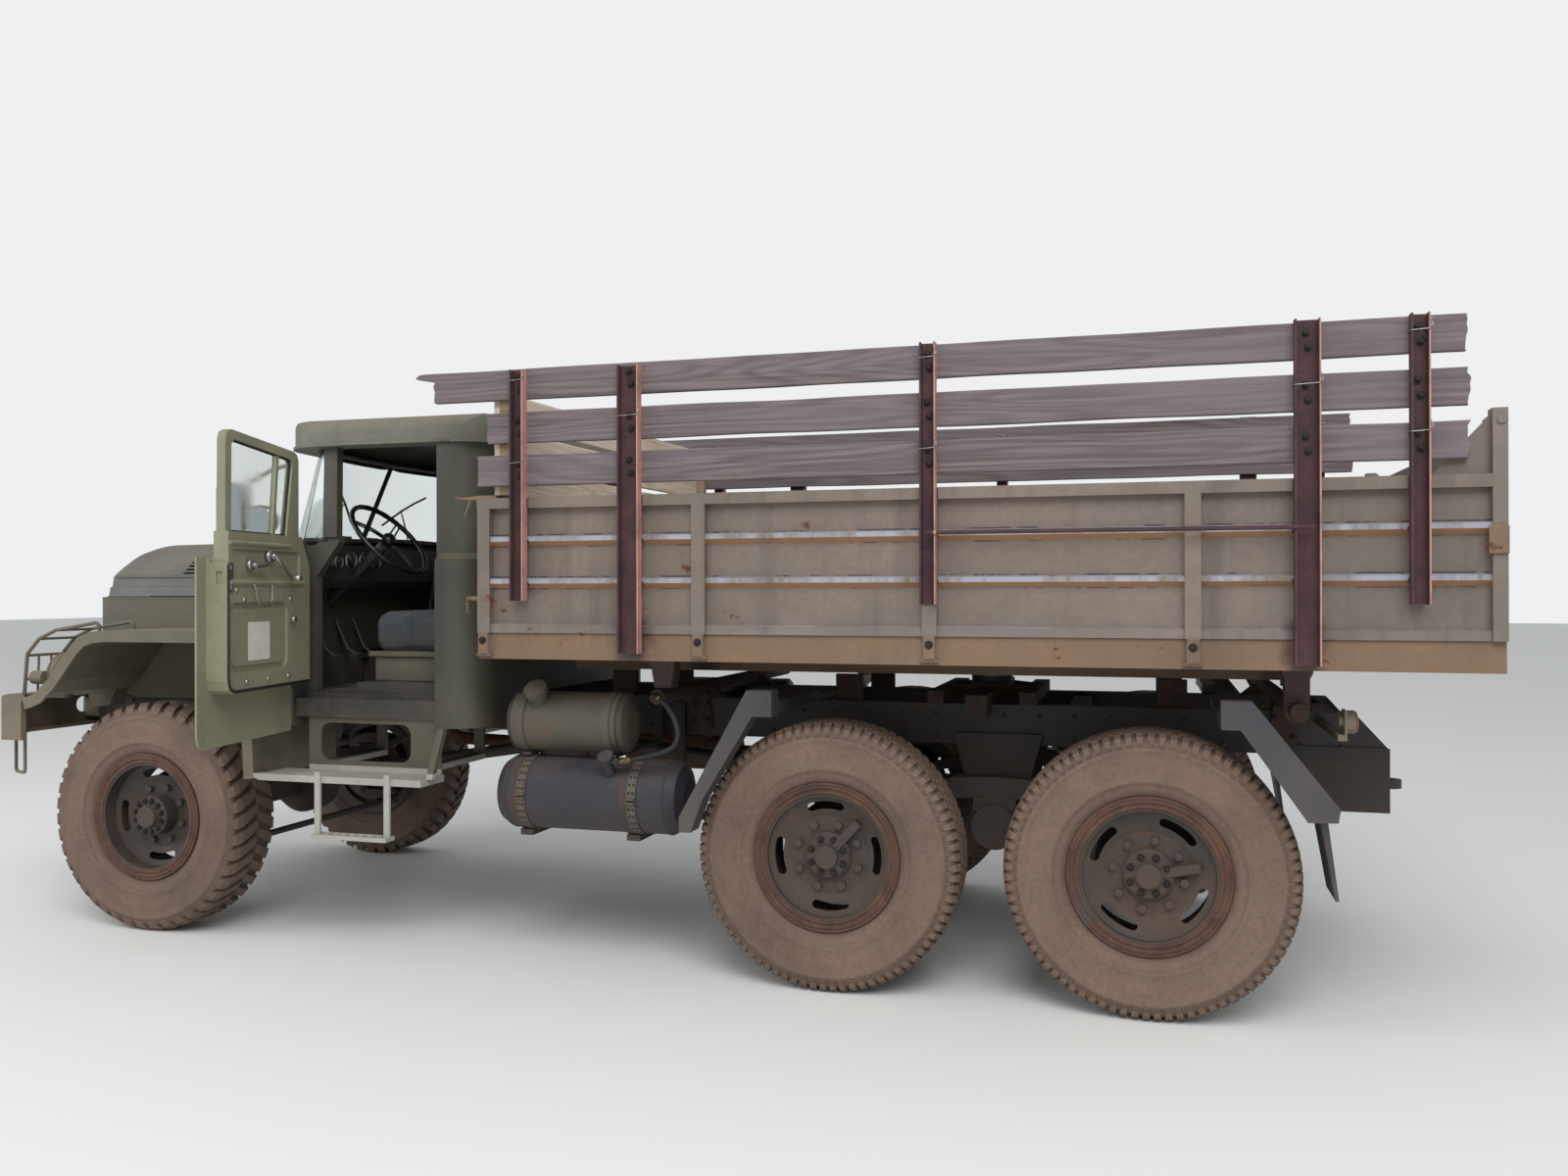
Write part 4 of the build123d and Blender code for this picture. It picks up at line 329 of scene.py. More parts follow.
def weatheredPaint(name, base, tone, chips=0.62, dust=0.35, dustColor=(150, 130, 108), streaks=0.25, rough=0.55,
                   lowDust=(0.2, 1.3), under=None, burns=(), ribs=(), above=None):
    f = Finish(name)
    color = f.mix(f.ramp(f.noise(1.6, 6, 0.62), 0.36, 0.64), srgb(*base), srgb(*tone))
    fine = f.noise(34, 6, 0.7)
    color = f.mix(f.ramp(fine, 0.3, 0.75, 0.0, 0.3), color, shade(base, 0.68))
    stain = f.noise(2.6, 7, 0.7, f.stretched((1, 1, 0.7), (1, 4, 8)))
    color = f.mix(f.ramp(stain, 0.5, 0.72, 0.0, 0.32), color, blend(base, dustColor, 0.62, 0.2))
    runs = f.noise(7, 4, 0.6, f.stretched((1, 1, 0.06)))
    color = f.mix(f.ramp(runs, 0.5, 0.74, 0.0, streaks), color, shade(tone, 0.55))
    patch = f.noise(5.5, 10, 0.72, f.stretched((1, 1, 1.3), (3.1, 1.7, 0.4)))
    chip = f.ramp(patch, chips, chips + 0.035)
    bare = f.mix(f.ramp(f.noise(22, 6, 0.7), 0.35, 0.65), srgb(*rust["dark"]), srgb(*rust["bright"]))
    color = f.mix(f.ramp(patch, chips - 0.09, chips, 0.0, 0.4), color, blend(base, rust["halo"], 0.5, 0.5))
    color = f.mix(chip, color, bare)
    facing = f.split("Normal")[2]
    along, across, tall = f.split()
    cloud = f.ramp(f.noise(3.1, 7, 0.65, f.stretched(shift=(7, 2, 5))), 0.32, 0.7)
    # upward faces and low parts take the dust colour; on the bed walls it is dust and painted sky highlight
    flat = f.math("MAXIMUM", f.ramp(facing, 0.35, 0.95), f.ramp(tall, lowDust[1], lowDust[0]))
    settled = f.math("MULTIPLY", flat, cloud)
    color = f.mix(f.math("MULTIPLY", settled, dust), color, srgb(*dustColor))
    if under:  # faces turned down keep the ochre of old undercoat
        below = f.ramp(facing, -0.15, -0.6)
        color = f.mix(f.math("MULTIPLY", below, f.ramp(patch, 0.6, 0.45, 0.35, 0.9)), color, srgb(*under))
    if ribs:  # painted highlight along the pressed ribs, ochre undersides and dark broken lines along the ribs
        across = f.apart(across, centreY)
        sheet = f.math("MULTIPLY", f.ramp(across, 1.2135, 1.215), f.ramp(across, 1.248, 1.246))
        broken = f.noise(5, 7, 0.7, f.stretched((1, 1, 0.3), (5, 0, 2)))
        for z in ribs:
            for middle, half, tint, low, high in ribBands:
                band = f.ramp(f.apart(tall, z + middle), half, half * 0.9)
                band = f.math("MULTIPLY", f.math("MULTIPLY", band, sheet), f.ramp(broken, low, high, 0.0, 0.85))
                color = f.mix(band, color, srgb(*tint))
    if above:  # another colour over this height
        height, other = above
        other = f.mix(f.ramp(stain, 0.3, 0.7), srgb(*other), shade(other, 0.78))
        color = f.mix(f.ramp(tall, height, height + 0.004), color, other)
    for x in burns:  # scorched round the welds
        far = f.math("ADD", f.apart(along, place(x, 0, 0).x), f.math("MULTIPLY", patch, 0.22))
        scorch = f.math("MULTIPLY", f.ramp(far, 0.2, 0.15), f.ramp(tall, 1.53, 1.49))
        color = f.mix(f.math("MULTIPLY", scorch, 0.75), color, srgb(*rust["scorch"]))
    f.bump(f.math("SUBTRACT", f.math("MULTIPLY", fine, 0.35), chip), 0.35, 0.0012)
    return f.surface(color, f.ramp(f.math("MAXIMUM", chip, settled), 0, 1, rough, rust["rough"]))


def bareRust(name, dark, bright, paintLeft=0.0, paintColor=None, rearFace=None):
    f = Finish(name)
    cloud = f.noise(9, 9, 0.7)
    color = f.mix(f.ramp(cloud, 0.35, 0.66), srgb(*dark), srgb(*bright))
    grain = f.noise(90, 4, 0.75)
    color = f.mix(f.ramp(grain, 0.35, 0.75, 0.0, 0.35), color, shade(dark, 0.5))
    if paintLeft:
        left = f.ramp(f.noise(4, 10, 0.7, f.stretched((1, 1, 0.5), (2, 9, 1))), 1 - paintLeft, 1.04 - paintLeft)
        color = f.mix(left, color, srgb(*paintColor))
    if rearFace:  # only the outside of each stake's rear flange has gone pale
        along = f.split()[0]
        edge = 0.0
        for x, bottom, top, width in stakeRows:
            edge = f.math("MAXIMUM", edge, f.ramp(f.apart(along, place(x - width / 2, 0, 0).x), 0.006, 0.004))
        color = f.mix(f.math("MULTIPLY", edge, f.ramp(cloud, 0.3, 0.55, 0.5, 1.0)), color, srgb(*rearFace))
    f.bump(f.math("ADD", grain, f.math("MULTIPLY", cloud, 0.6)), 0.45, 0.0012)
    return f.surface(color, f.ramp(grain, 0, 1, 0.7, 0.95))


def timber(name, light, dark, weather, knots=0.5, along="X"):
    f = Finish(name)

    def run(x, z):
        return (x, 1, z) if along == "X" else (1, x, z)

    flow = f.noise(1.5, 2, 0.4, f.stretched(run(0.32, 3.4)))
    ring = f.math("PINGPONG", f.math("MULTIPLY", flow, 34), 1.0)  # contour lines of the flow read as growth rings
    fibre = f.noise(9, 8, 0.75, f.stretched(run(0.12, 9)))
    grain = f.noise(60, 5, 0.7, f.stretched(run(0.04, 2.2)))
    spots = {"Scale": 2.4, "Vector": f.stretched(run(0.6, 2.1), (0.3, 0.2, 0.4))}
    spot = f.add("ShaderNodeTexVoronoi", spots).outputs["Distance"]
    split = f.ramp(f.noise(4, 3, 0.5, f.stretched(run(0.1, 5), (4, 4, 4))), 0.695, 0.71)
    patch = f.noise(0.9, 6, 0.6, f.stretched(run(1, 4)))
    color = f.mix(f.ramp(ring, 0.25, 0.95, 0.0, 0.6), srgb(*light), srgb(*dark))
    color = f.mix(f.ramp(fibre, 0.42, 0.66, 0.0, 0.65), color, shade(dark, 0.78))
    color = f.mix(f.ramp(grain, 0.4, 0.7, 0.0, 0.35), color, shade(dark, 0.6))
    color = f.mix(f.ramp(spot, 0.075, 0.045, 0.0, knots), color, shade(dark, 0.42))
    color = f.mix(split, color, shade(dark, 0.3))
    color = f.mix(f.ramp(patch, 0.4, 0.66, 0.0, 0.6), color, srgb(*weather))
    depth = f.math("ADD", f.math("MULTIPLY", grain, 0.6), f.math("ADD", fibre, f.math("MULTIPLY", split, -2.0)))
    f.bump(f.math("SUBTRACT", depth, f.math("MULTIPLY", ring, 0.25)), 0.6, 0.0015)
    return f.surface(color, f.ramp(grain, 0, 1, 0.75, 0.95))


def tyreRubber(name, rubber, mud, amount):
    f = Finish(name)
    cloud = f.noise(4.2, 8, 0.68)
    speck = f.noise(48, 6, 0.75)
    color = f.mix(f.ramp(cloud, 0.3, 0.62, amount * 0.55, amount), srgb(*rubber), srgb(*mud))
    wall = f.ramp(f.math("ABSOLUTE", f.split("Normal")[1], 0.0), 0.8, 0.97)  # sidewalls carry paler dried mud
    dried = f.ramp(f.noise(2.2, 6, 0.65, f.stretched(shift=(3, 3, 3))), 0.36, 0.62, 0.1, 0.75)
    color = f.mix(f.math("MULTIPLY", wall, dried), color, shade(mud, 1.12))
    color = f.mix(f.ramp(speck, 0.45, 0.75, 0.0, 0.45), color, shade(mud, 0.6))
    band = f.noise(1.4, 8, 0.7, f.stretched((1, 0.2, 1), (6, 1, 2)))
    color = f.mix(f.ramp(band, 0.52, 0.72, 0.0, 0.5), color, shade(rubber, 1.15))
    f.bump(f.math("ADD", speck, cloud), 0.35, 0.0015)
    return f.surface(color, f.ramp(cloud, 0.3, 0.7, 0.75, 0.95))


def plainFinish(name, color, rough=0.5, metallic=0.0, grain=60, strength=0.2, contrast=0.75):
    f = Finish(name)
    speck = f.noise(grain, 5, 0.65)
    color = f.mix(f.ramp(speck, 0.3, 0.7), srgb(*color), shade(color, contrast))
    f.bump(speck, strength, 0.0008)
    return f.surface(color, f.ramp(speck, 0, 1, rough * 0.85, min(1, rough * 1.15)), metallic)


def seatCloth(name, color, worn):
    f = Finish(name)
    cloud = f.noise(7, 6, 0.6)
    grain = f.add("ShaderNodeTexVoronoi", {"Scale": 420, "Vector": f.coord["Object"]}).outputs["Distance"]
    color = f.mix(f.ramp(cloud, 0.35, 0.68), srgb(*color), srgb(*worn))
    color = f.mix(f.ramp(f.noise(38, 5, 0.7), 0.55, 0.75, 0.0, 0.5), color, shade(worn, 0.55))
    f.bump(f.math("ADD", grain, f.math("MULTIPLY", cloud, 0.5)), 0.35, 0.0008)
    return f.surface(color, f.ramp(cloud, 0.3, 0.7, 0.42, 0.62), more={"Sheen Weight": 0.15})


def lens(name, tint, density=0.9):
    f = Finish(name)
    ribs = f.add("ShaderNodeTexWave", {"Scale": 60, "Vector": f.coord["Object"]}, bands_direction="Y").outputs["Fac"]
    dirt = f.noise(14, 6, 0.65)
    color = f.mix(f.ramp(dirt, 0.45, 0.8, 0.0, 0.5), srgb(*tint), srgb(120, 108, 92))
    f.bump(ribs, 0.4, 0.001)
    return f.surface(color, f.ramp(dirt, 0.3, 0.75, 0.08, 0.5), more={"Transmission Weight": 1 - density})


def smeared(name, color, scale, detail, rough, outLow, outHigh, metallic, more=None):
    # clear or mirroring glass with greasy smears
    f = Finish(name)
    return f.surface(color, f.ramp(f.noise(scale, detail, rough), 0.35, 0.8, outLow, outHigh), metallic, more)


print("materials")
olive = weatheredPaint("olivePaint", (64, 65, 54), (78, 77, 64), chips=0.7, dust=0.4)
# cab floor and dash: a darker copy of the cab's olive, painted shade for the cab's inside
shadedCabInside = weatheredPaint("cabInsidePaint", (42, 46, 44), (54, 56, 52), chips=0.68, lowDust=(1.05, 1.3))
oliveRoof = weatheredPaint("oliveRoofPaint", (96, 95, 82), (116, 114, 102), chips=0.72, dust=0.5)
oliveFender = weatheredPaint("fenderPaint", (104, 98, 82), (88, 84, 70), chips=0.68, dust=0.7,
                             dustColor=(150, 128, 110), lowDust=(0.7, 1.5))
oliveHood = weatheredPaint("hoodPaint", (84, 86, 82), (100, 100, 94), chips=0.72, dust=0.45)
chassisBlack = weatheredPaint("chassisPaint", (44, 42, 41), (58, 50, 46), chips=0.66, dust=0.65,
                              dustColor=(98, 72, 60), lowDust=(0.3, 1.15))
rimPaint = weatheredPaint("rimPaint", (50, 47, 44), (62, 54, 47), chips=0.64, dust=0.5, dustColor=(108, 82, 66),
                          lowDust=(0.0, 1.4))
# bed walls: the pale violet-grey on upward faces and low on the wall is dust and painted sky highlight
wallPaint = weatheredPaint("bedWallPaint", (108, 99, 90), (126, 112, 102), chips=0.63, dust=0.62,
                           dustColor=(152, 152, 162), streaks=0.55, lowDust=(1.30, 1.52), under=(146, 108, 74),
                           burns=(-2.603, -5.128), ribs=(1.665, 1.84))
railPaint = weatheredPaint("bedRailPaint", (126, 101, 78), (110, 88, 70), dust=0.45, dustColor=(140, 112, 88),
                           lowDust=(1.0, 1.7), burns=(-2.603, -5.128))
floorSteel = weatheredPaint("bedFloorSteel", (92, 76, 62), (108, 86, 68), chips=0.55, dust=0.55)
cylinderPaint = weatheredPaint("cylinderPaint", (42, 43, 54), (52, 48, 54), chips=0.68, dust=0.55,
                               dustColor=(108, 92, 82), lowDust=(0.52, 0.78))
tankPaint = weatheredPaint("tankPaint", (72, 68, 58), (86, 78, 66), chips=0.66, dust=0.4)
armPaint = weatheredPaint("guardArmPaint", (54, 55, 62), (64, 62, 66), chips=0.68, dust=0.4)
stepPaint = weatheredPaint("stepPaint", (176, 176, 168), (156, 154, 146), chips=0.66, dust=0.4,
                           above=(0.822, (98, 92, 78)))
doorPaint = weatheredPaint("doorPaint", (150, 148, 122), (132, 130, 106), chips=0.74)
interiorPaint = weatheredPaint("interiorPaint", (70, 72, 62), (86, 86, 76), chips=0.68, lowDust=(1.1, 1.6))
strapSteel = weatheredPaint("strapSteel", (74, 70, 66), (92, 82, 72), dust=0.5, dustColor=(112, 92, 76),
                            lowDust=(0.4, 1.0))
stakeRust = bareRust("stakeRust", (56, 38, 44), (88, 56, 56), rearFace=(182, 134, 122))
hoistRust = bareRust("hoistRust", (50, 38, 34), (82, 56, 42), 0.45, (54, 50, 44))
exhaustRust = bareRust("exhaustRust", (62, 40, 30), (112, 72, 50))
lockRust = bareRust("lockRingRust", (70, 50, 42), (104, 72, 56), 0.4, (76, 68, 60))
oldWood = timber("weatheredPlanks", (124, 112, 112), (82, 70, 74), (112, 103, 110))
newWood = timber("freshBoards", (236, 220, 200), (210, 182, 152), (230, 214, 200), 0.4, "Y")
postWood = timber("cleatWood", (176, 150, 122), (140, 112, 90), (150, 132, 118), 0.3)
blackPlastic = plainFinish("blackPlastic", (30, 30, 32), 0.45)
brightMetal = plainFinish("wornMetal", (186, 184, 178), 0.35, 0.9)
blackRubber = plainFinish("hoseRubber", (34, 33, 33), 0.7)
darkSteel = plainFinish("darkSteel", (58, 50, 46), 0.6, 0.5)
weldSteel = plainFinish("weldSteel", (66, 62, 66), 0.45, 0.7, grain=140)
labelPaper = plainFinish("labelPaper", (222, 216, 204), 0.6, grain=25, contrast=0.92)
wheelPlastic = plainFinish("steeringWheelPlastic", (24, 24, 26), 0.32, grain=80, strength=0.1)
brassFitting = plainFinish("fittingMetal", (120, 104, 74), 0.4, 0.9)
castIron = plainFinish("castIron", (70, 70, 70), 0.8)
ramSteel = plainFinish("ramSteel", (150, 150, 150), 0.25, 1.0)
seatVinyl = seatCloth("seatVinyl", (46, 50, 56), (70, 72, 74))
lampGlass = lens("headlampLens", (206, 208, 204), 0.6)
amberLens = lens("indicatorLens", (206, 112, 30))
redLens = lens("tailLens", (140, 22, 18))
glass = smeared("cabGlass", (0.86, 0.92, 0.9), 6, 5, 0.6, 0.02, 0.22, 0.0, {"Transmission Weight": 1.0, "IOR": 1.45})
mirrorGlass = smeared("mirrorGlass", (0.62, 0.65, 0.68), 18, 6, 0.7, 0.03, 0.3, 1.0)

# what each CAD node is coated with
for names, material in (
        ("frame gearbox drive_shafts front_axle middle_axle rear_axle springs left_knuckle right_knuckle tie_rod "
         "tank_cradle air_tanks hoist_barrel radiator", chassisBlack),
        ("bumper fenders grille lamps", oliveFender), ("hood", oliveHood), ("cab_cowl cab_back", olive),
        ("cab_floor dashboard", shadedCabInside), ("cab_roof", oliveRoof), ("engine", castIron), ("steps", stepPaint),
        ("cab_glass left_door_glass right_door_glass", glass), ("steering_wheel", blackPlastic),
        ("left_door right_door", doorPaint), ("fuel_tank", tankPaint), ("gas_cylinder", cylinderPaint),
        ("gas_hose", blackRubber), ("mudguard_arms", armPaint), ("exhaust", exhaustRust),
        ("tipping_frame", hoistRust), ("hoist_stage_1 hoist_stage_2 hoist_stage_3", ramSteel),
        ("bed_frame", railPaint), ("bed_floor", floorSteel), ("bed_walls tailgate", wallPaint),
        ("stakes", stakeRust), ("planks", oldWood), (" ".join(f"{name}_rim" for name in wheelNames), rimPaint)):
    for name in names.split():
        data = nodes[name].data
        if not data.materials:
            data.materials.append(material)
        for i in range(len(data.materials)):
            data.materials[i] = material


# geometry trees: one geometry in and one out, with named inputs
def openTree(name, entryName, inputs):
    tree = bpy.data.node_groups.new(name, "GeometryNodeTree")
    face = tree.interface
    face.new_socket(name=entryName, in_out="INPUT", socket_type="NodeSocketGeometry")
    sockets = {}
    for label, kind, value in inputs + (("Material", "NodeSocketMaterial", None),):
        socket = face.new_socket(name=label, in_out="INPUT", socket_type=kind)
        if value is not None:
            socket.default_value = value
        sockets[label] = socket.identifier
    face.new_socket(name="Geometry", in_out="OUTPUT", socket_type="NodeSocketGeometry")
    g = Graph(tree)
    return g, g.add("NodeGroupInput").outputs, sockets


def closeTree(g, entry, geometry):
    # the instances made real, with their material, are the tree's result
    real = g.add("GeometryNodeRealizeInstances", {0: geometry})
    paint = g.add("GeometryNodeSetMaterial", {"Geometry": real.outputs[0], "Material": entry["Material"]})
    g.add("NodeGroupOutput", {0: paint.outputs[0]})


def throughTree(obj, tree, sockets, values):
    # a tree run on an object, and its result kept as plain mesh
    mod = obj.modifiers.new("spread", "NODES")
    mod.node_group = tree
    for label, value in values.items():
        mod[sockets[label]] = value
    return applied(obj)


def ringTree():
    # blocks set evenly round the wheel's axis, joined to the tyre's body
    g, entry, sockets = openTree("ringOfBlocks", "Body", (("Block", "NodeSocketObject", None),
                                                          ("Count", "NodeSocketInt", 40)))
    line = g.add("GeometryNodeMeshLine", {"Count": entry["Count"], "Offset": (0, 0, 0)})
    index = g.add("GeometryNodeInputIndex")
    share = g.add("ShaderNodeMath", {0: index.outputs[0], 1: entry["Count"]}, operation="DIVIDE")
    angle = g.add("ShaderNodeMath", {0: share.outputs[0], 1: fullTurn}, operation="MULTIPLY")
    turn = g.add("ShaderNodeCombineXYZ", {"Y": angle.outputs[0]})
    info = g.add("GeometryNodeObjectInfo", {"Object": entry["Block"]})
    spread = g.add("GeometryNodeInstanceOnPoints", {"Points": line.outputs["Mesh"], "Rotation": turn.outputs[0],
                                                    "Instance": info.outputs["Geometry"]})
    join = g.add("GeometryNodeJoinGeometry", {0: spread.outputs["Instances"]})
    g.feed(join, {0: entry["Body"]})
    closeTree(g, entry, join.outputs[0])
    return g.tree, sockets


def scatterTree():
    # heads set on points, each facing its own way and turned at random round it
    g, entry, sockets = openTree("scatteredHeads", "Points", (
        ("Head", "NodeSocketObject", None), ("Turn", "NodeSocketFloat", 6.283), ("Seed", "NodeSocketInt", 4)))
    facing = g.add("GeometryNodeInputNamedAttribute", {"Name": "facing"}, data_type="FLOAT_VECTOR")
    align = g.add("FunctionNodeAlignRotationToVector", {"Vector": facing.outputs[0]}, axis="Z")
    chance = g.add("FunctionNodeRandomValue", {3: entry["Turn"], "Seed": entry["Seed"]}, data_type="FLOAT")
    spin = g.add("ShaderNodeCombineXYZ", {"Z": chance.outputs[1]})
    both = g.add("FunctionNodeRotateRotation", {0: align.outputs[0], 1: spin.outputs[0]}, rotation_space="LOCAL")
    info = g.add("GeometryNodeObjectInfo", {"Object": entry["Head"]})
    spread = g.add("GeometryNodeInstanceOnPoints", {"Points": entry["Points"], "Rotation": both.outputs[0],
                                                    "Instance": info.outputs["Geometry"]})
    closeTree(g, entry, spread.outputs[0])
    return g.tree, sockets


# tyres: a carcass with its tread blocks set round it; rows hold offsets from the middle and shares of a pitch
tyreShape = {
    "front": {"pitches": 43, "blockDepth": 0.022, "lean": 6.0, "mud": 0.85, "rows": (
        ((0.004, 0.56), (0.055, 0.62), (0.1, 0.68), (0.124, 0.7), (0.137, 0.6)),)},
    "rear": {"pitches": 80, "blockDepth": 0.013, "lean": 0.0, "mud": 0.9, "rows": (
        ((0.078, 0.66), (0.105, 0.7), (0.126, 0.66), (0.135, 0.58), (0.1425, 0.46)),
        ((0.046, 0.72), (0.07, 0.72)), ((0.004, 0.8), (0.038, 0.8)))},
}
tyreWall = (  # radius, and how far inside the tyre's side
    (0.257, 0.041), (0.303, 0.036), (0.312, 0.024), (0.335, 0.014), (0.352, 0.009), (0.356, 0.005), (0.366, 0.004),
    (0.371, 0.007), (0.405, 0.002), (0.44, 0.001), (0.468, 0.004), (0.472, 0.001), (0.482, 0.001), (0.487, 0.005),
    (0.503, 0.012), (0.517, 0.022))


def crownRadius(y, depth):
    drop = max(0.0, abs(y) - 0.09) ** 2 * 14
    return tyreRadius - drop - depth


def treadBlock(shape):
    pitch = fullTurn / shape["pitches"]
    verts = []
    faces = []
    for side in (1, -1):
        for n, row in enumerate(shape["rows"]):
            start = len(verts)
            phase = (side * 0.25 + n * 0.31) * pitch
            for y, share in row:
                lean = (y - 0.07) * shape["lean"] * pitch
                for top, spread in ((False, 1.06), (True, 0.94)):
                    r = crownRadius(y, 0.0 if top else shape["blockDepth"] + 0.004)
                    if y > 0.13:
                        r -= 0.014 if top else 0.010
                    edgeY = y if top or y < 0.12 else y - 0.010
                    for edge in (-1, 1):
                        a = phase + lean + edge * share * spread * pitch / 2
                        verts.append((r * math.cos(a), side * edgeY, r * math.sin(a)))
            last = start + (len(row) - 1) * 4
            for a in range(start, last, 4):
                faces += [(a + p, a + q, a + 4 + q, a + 4 + p) for p, q in ((0, 2), (2, 3), (3, 1), (1, 0))]
            faces.append((start, start + 1, start + 3, start + 2))
            faces.append((last, last + 2, last + 3, last + 1))
    return meshFrom(verts, faces)


def carcass(shape):
    outer = [(r, tyreHalf - inside) for r, inside in tyreWall]
    outer += [(crownRadius(y, shape["blockDepth"]), y) for y in (0.118, 0.09, 0.045, 0.0)]
    return spun(outer + [(r, -y) for r, y in outer[:-1][::-1]], 128)


def makeTyres():
    tree, sockets = ringTree()
    for kind, shape in tyreShape.items():
        rubber = tyreRubber(kind + "TyreRubber", (46, 41, 40), (114, 94, 80), shape["mud"])
        block = newObject(kind + "Block", treadBlock(shape))
        obj = throughTree(newObject(kind + "Tyre", carcass(shape)), tree, sockets,
                          {"Block": block, "Count": shape["pitches"], "Material": rubber})
        for name in wheelNames:
            if name.startswith("front") != (kind == "front"):
                continue
            low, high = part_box(name + "_tyre")
            centre = (low + high) / 2
            mesh = obj.data.copy()
            if name.endswith("right"):
                mesh.transform(Matrix.Rotation(math.pi, 4, "Z"))
            mesh.transform(Matrix.Translation((centre.x, centre.y, wheelZ)))
            piece(name + "Tyre", [mesh], name + "_wheel", rubber, [name + "_tyre"])
        bpy.data.objects.remove(block)
        bpy.data.objects.remove(obj)
    print("tyres")


# stage and light; lamps hold name, place, target, power and width
stageLook = {"floor": (0.78, 0.775, 0.76), "size": 60, "seen": (0.86, 0.87, 0.88), "light": (0.95, 0.98, 1.0),
             "world": 0.62,
             "lamps": (("key", (-6, 9, 9), (-2.4, 0, 1), 900, 7), ("fill", (7, 6, 5), (-1, 0, 1), 320, 6))}


def makeStage():
    size = stageLook["size"]
    mesh = meshFrom([(-size, -size, 0), (size, -size, 0), (size, size, 0), (-size, size, 0)], [(0, 1, 2, 3)])
    mesh.materials.append(Finish("floorPaper").surface(stageLook["floor"], 0.9))
    newObject("floor", mesh)
    scene.world = bpy.data.worlds.new("studio")
    scene.world.use_nodes = True
    g = Graph(scene.world.node_tree)
    g.tree.nodes.clear()
    ray = g.add("ShaderNodeLightPath").outputs
    lit = g.add("ShaderNodeBackground", {"Color": stageLook["light"], "Strength": stageLook["world"]})
    seen = g.add("ShaderNodeBackground", {"Color": stageLook["seen"], "Strength": 1.0})
    both = g.add("ShaderNodeMath", {0: ray["Is Camera Ray"], 1: ray["Is Transmission Ray"]}, operation="MAXIMUM")
    mix = g.add("ShaderNodeMixShader", {0: both.outputs[0], 1: lit.outputs[0], 2: seen.outputs[0]})
    g.add("ShaderNodeOutputWorld", {0: mix.outputs[0]})
    for name, at, target, energy, width in stageLook["lamps"]:
        data = bpy.data.lights.new(name, "AREA")
        data.energy = energy
        data.size = width
        spot = place(*at)
        turn = (place(*target) - spot).to_track_quat("-Z", "Y").to_matrix().to_4x4()
        newObject(name, data).matrix_world = Matrix.Translation(spot) @ turn
    scene.view_settings.view_transform = "Standard"


# doors turn on this line; the left one stands open
doorHinge = (-0.8, 1.018)
doorSwing = Matrix.Rotation(math.radians(-78.4), 2)


def doorPoint(s, y, z, side):
    # point of a door given closed, s metres behind its hinge line
    if side < 0:
        return place(doorHinge[0] - s, -y, z)
    turned = doorSwing @ Vector((-s, y - doorHinge[1]))
    return place(doorHinge[0] + turned.x, doorHinge[1] + turned.y, z)


def arcPoints(a, b, c, count):
    # points along the arc through three plan points
    ax, ay, bx, by, cx, cy = *a, *b, *c
    d = 2 * (ax * (by - cy) + bx * (cy - ay) + cx * (ay - by))
    ux = ((ax * ax + ay * ay) * (by - cy) + (bx * bx + by * by) * (cy - ay) + (cx * cx + cy * cy) * (ay - by)) / d
    uy = ((ax * ax + ay * ay) * (cx - bx) + (bx * bx + by * by) * (ax - cx) + (cx * cx + cy * cy) * (bx - ax)) / d
    r = math.hypot(ax - ux, ay - uy)
    start = math.atan2(ay - uy, ax - ux)
    span = (math.atan2(cy - uy, cx - ux) - start + math.pi) % fullTurn - math.pi
    angles = [start + span * i / count for i in range(count + 1)]
    return [(ux + r * math.cos(angle), uy + r * math.sin(angle)) for angle in angles]


# repeated small heads: outlines standing on a plane, with the number of sides
headShapes = {
    "rivet": (([(0.0, -0.002), (0.011, -0.002), (0.0105, 0.002), (0.008, 0.0055), (0.004, 0.0075), (0.0, 0.008)],
               12, True),),
    "screw": (([(0.0, -0.001), (0.006, -0.001), (0.0058, 0.0015), (0.004, 0.003), (0.0, 0.0036)], 10, True),),
    "bolt": (([(0.0, -0.002), (0.016, -0.002), (0.016, 0.0015), (0.0, 0.0015)], 16, False),
             ([(0.0, 0.001), (0.0115, 0.001), (0.0115, 0.0085), (0.0095, 0.010), (0.0, 0.010)], 6, False),
             ([(0.0, 0.009), (0.0055, 0.009), (0.0055, 0.0145), (0.004, 0.016), (0.0, 0.016)], 10, False)),
}
scatterNodes = scatterTree()


def scattered(name, kind, rows, body, material):
    # one piece of heads; rows hold where each stands and the way it faces
    meshes = [spun(profile, segments, axis="Z", smooth=smooth) for profile, segments, smooth in headShapes[kind]]
    head = newObject(name + "Head", joined(name + "Head", meshes))
    mesh = bpy.data.meshes.new(name)
    mesh.from_pydata([tuple(p) for p, way in rows], [], [])
    facing = mesh.attributes.new("facing", "FLOAT_VECTOR", "POINT")
    for entry, (p, way) in zip(facing.data, rows):
        entry.vector = way
    values = {"Head": head, "Seed": len(rows), "Material": material}
    obj = throughTree(newObject(name, mesh), *scatterNodes, values)
    bpy.data.objects.remove(head)
    finishPiece(obj, body, material)


# boards between the stakes: bottom, top, rise to the rear, front end, rear end
boardLook = {"station": 0.06, "chamfer": 0.0025, "wane": 0.004, "jag": 0.012, "bow": 0.001, "near": 1.2175,
             "far": 1.2512, "bolts": 1.259, "levels": (0.0, 0.03, 0.2, 0.38, 0.55, 0.72, 0.86, 0.97, 1.0),
             "tip": 0.125, "frontHalf": 1.212, "front": (-1.9895, -1.9625), "frontRows": (2.022, 2.176, 2.330)}
boardRows = ((2.057, 2.187, 0.006, -1.903, -5.640), (2.235, 2.365, 0.006, -1.949, -5.641),
             (2.415, 2.543, 0.008, -1.698, -5.635))


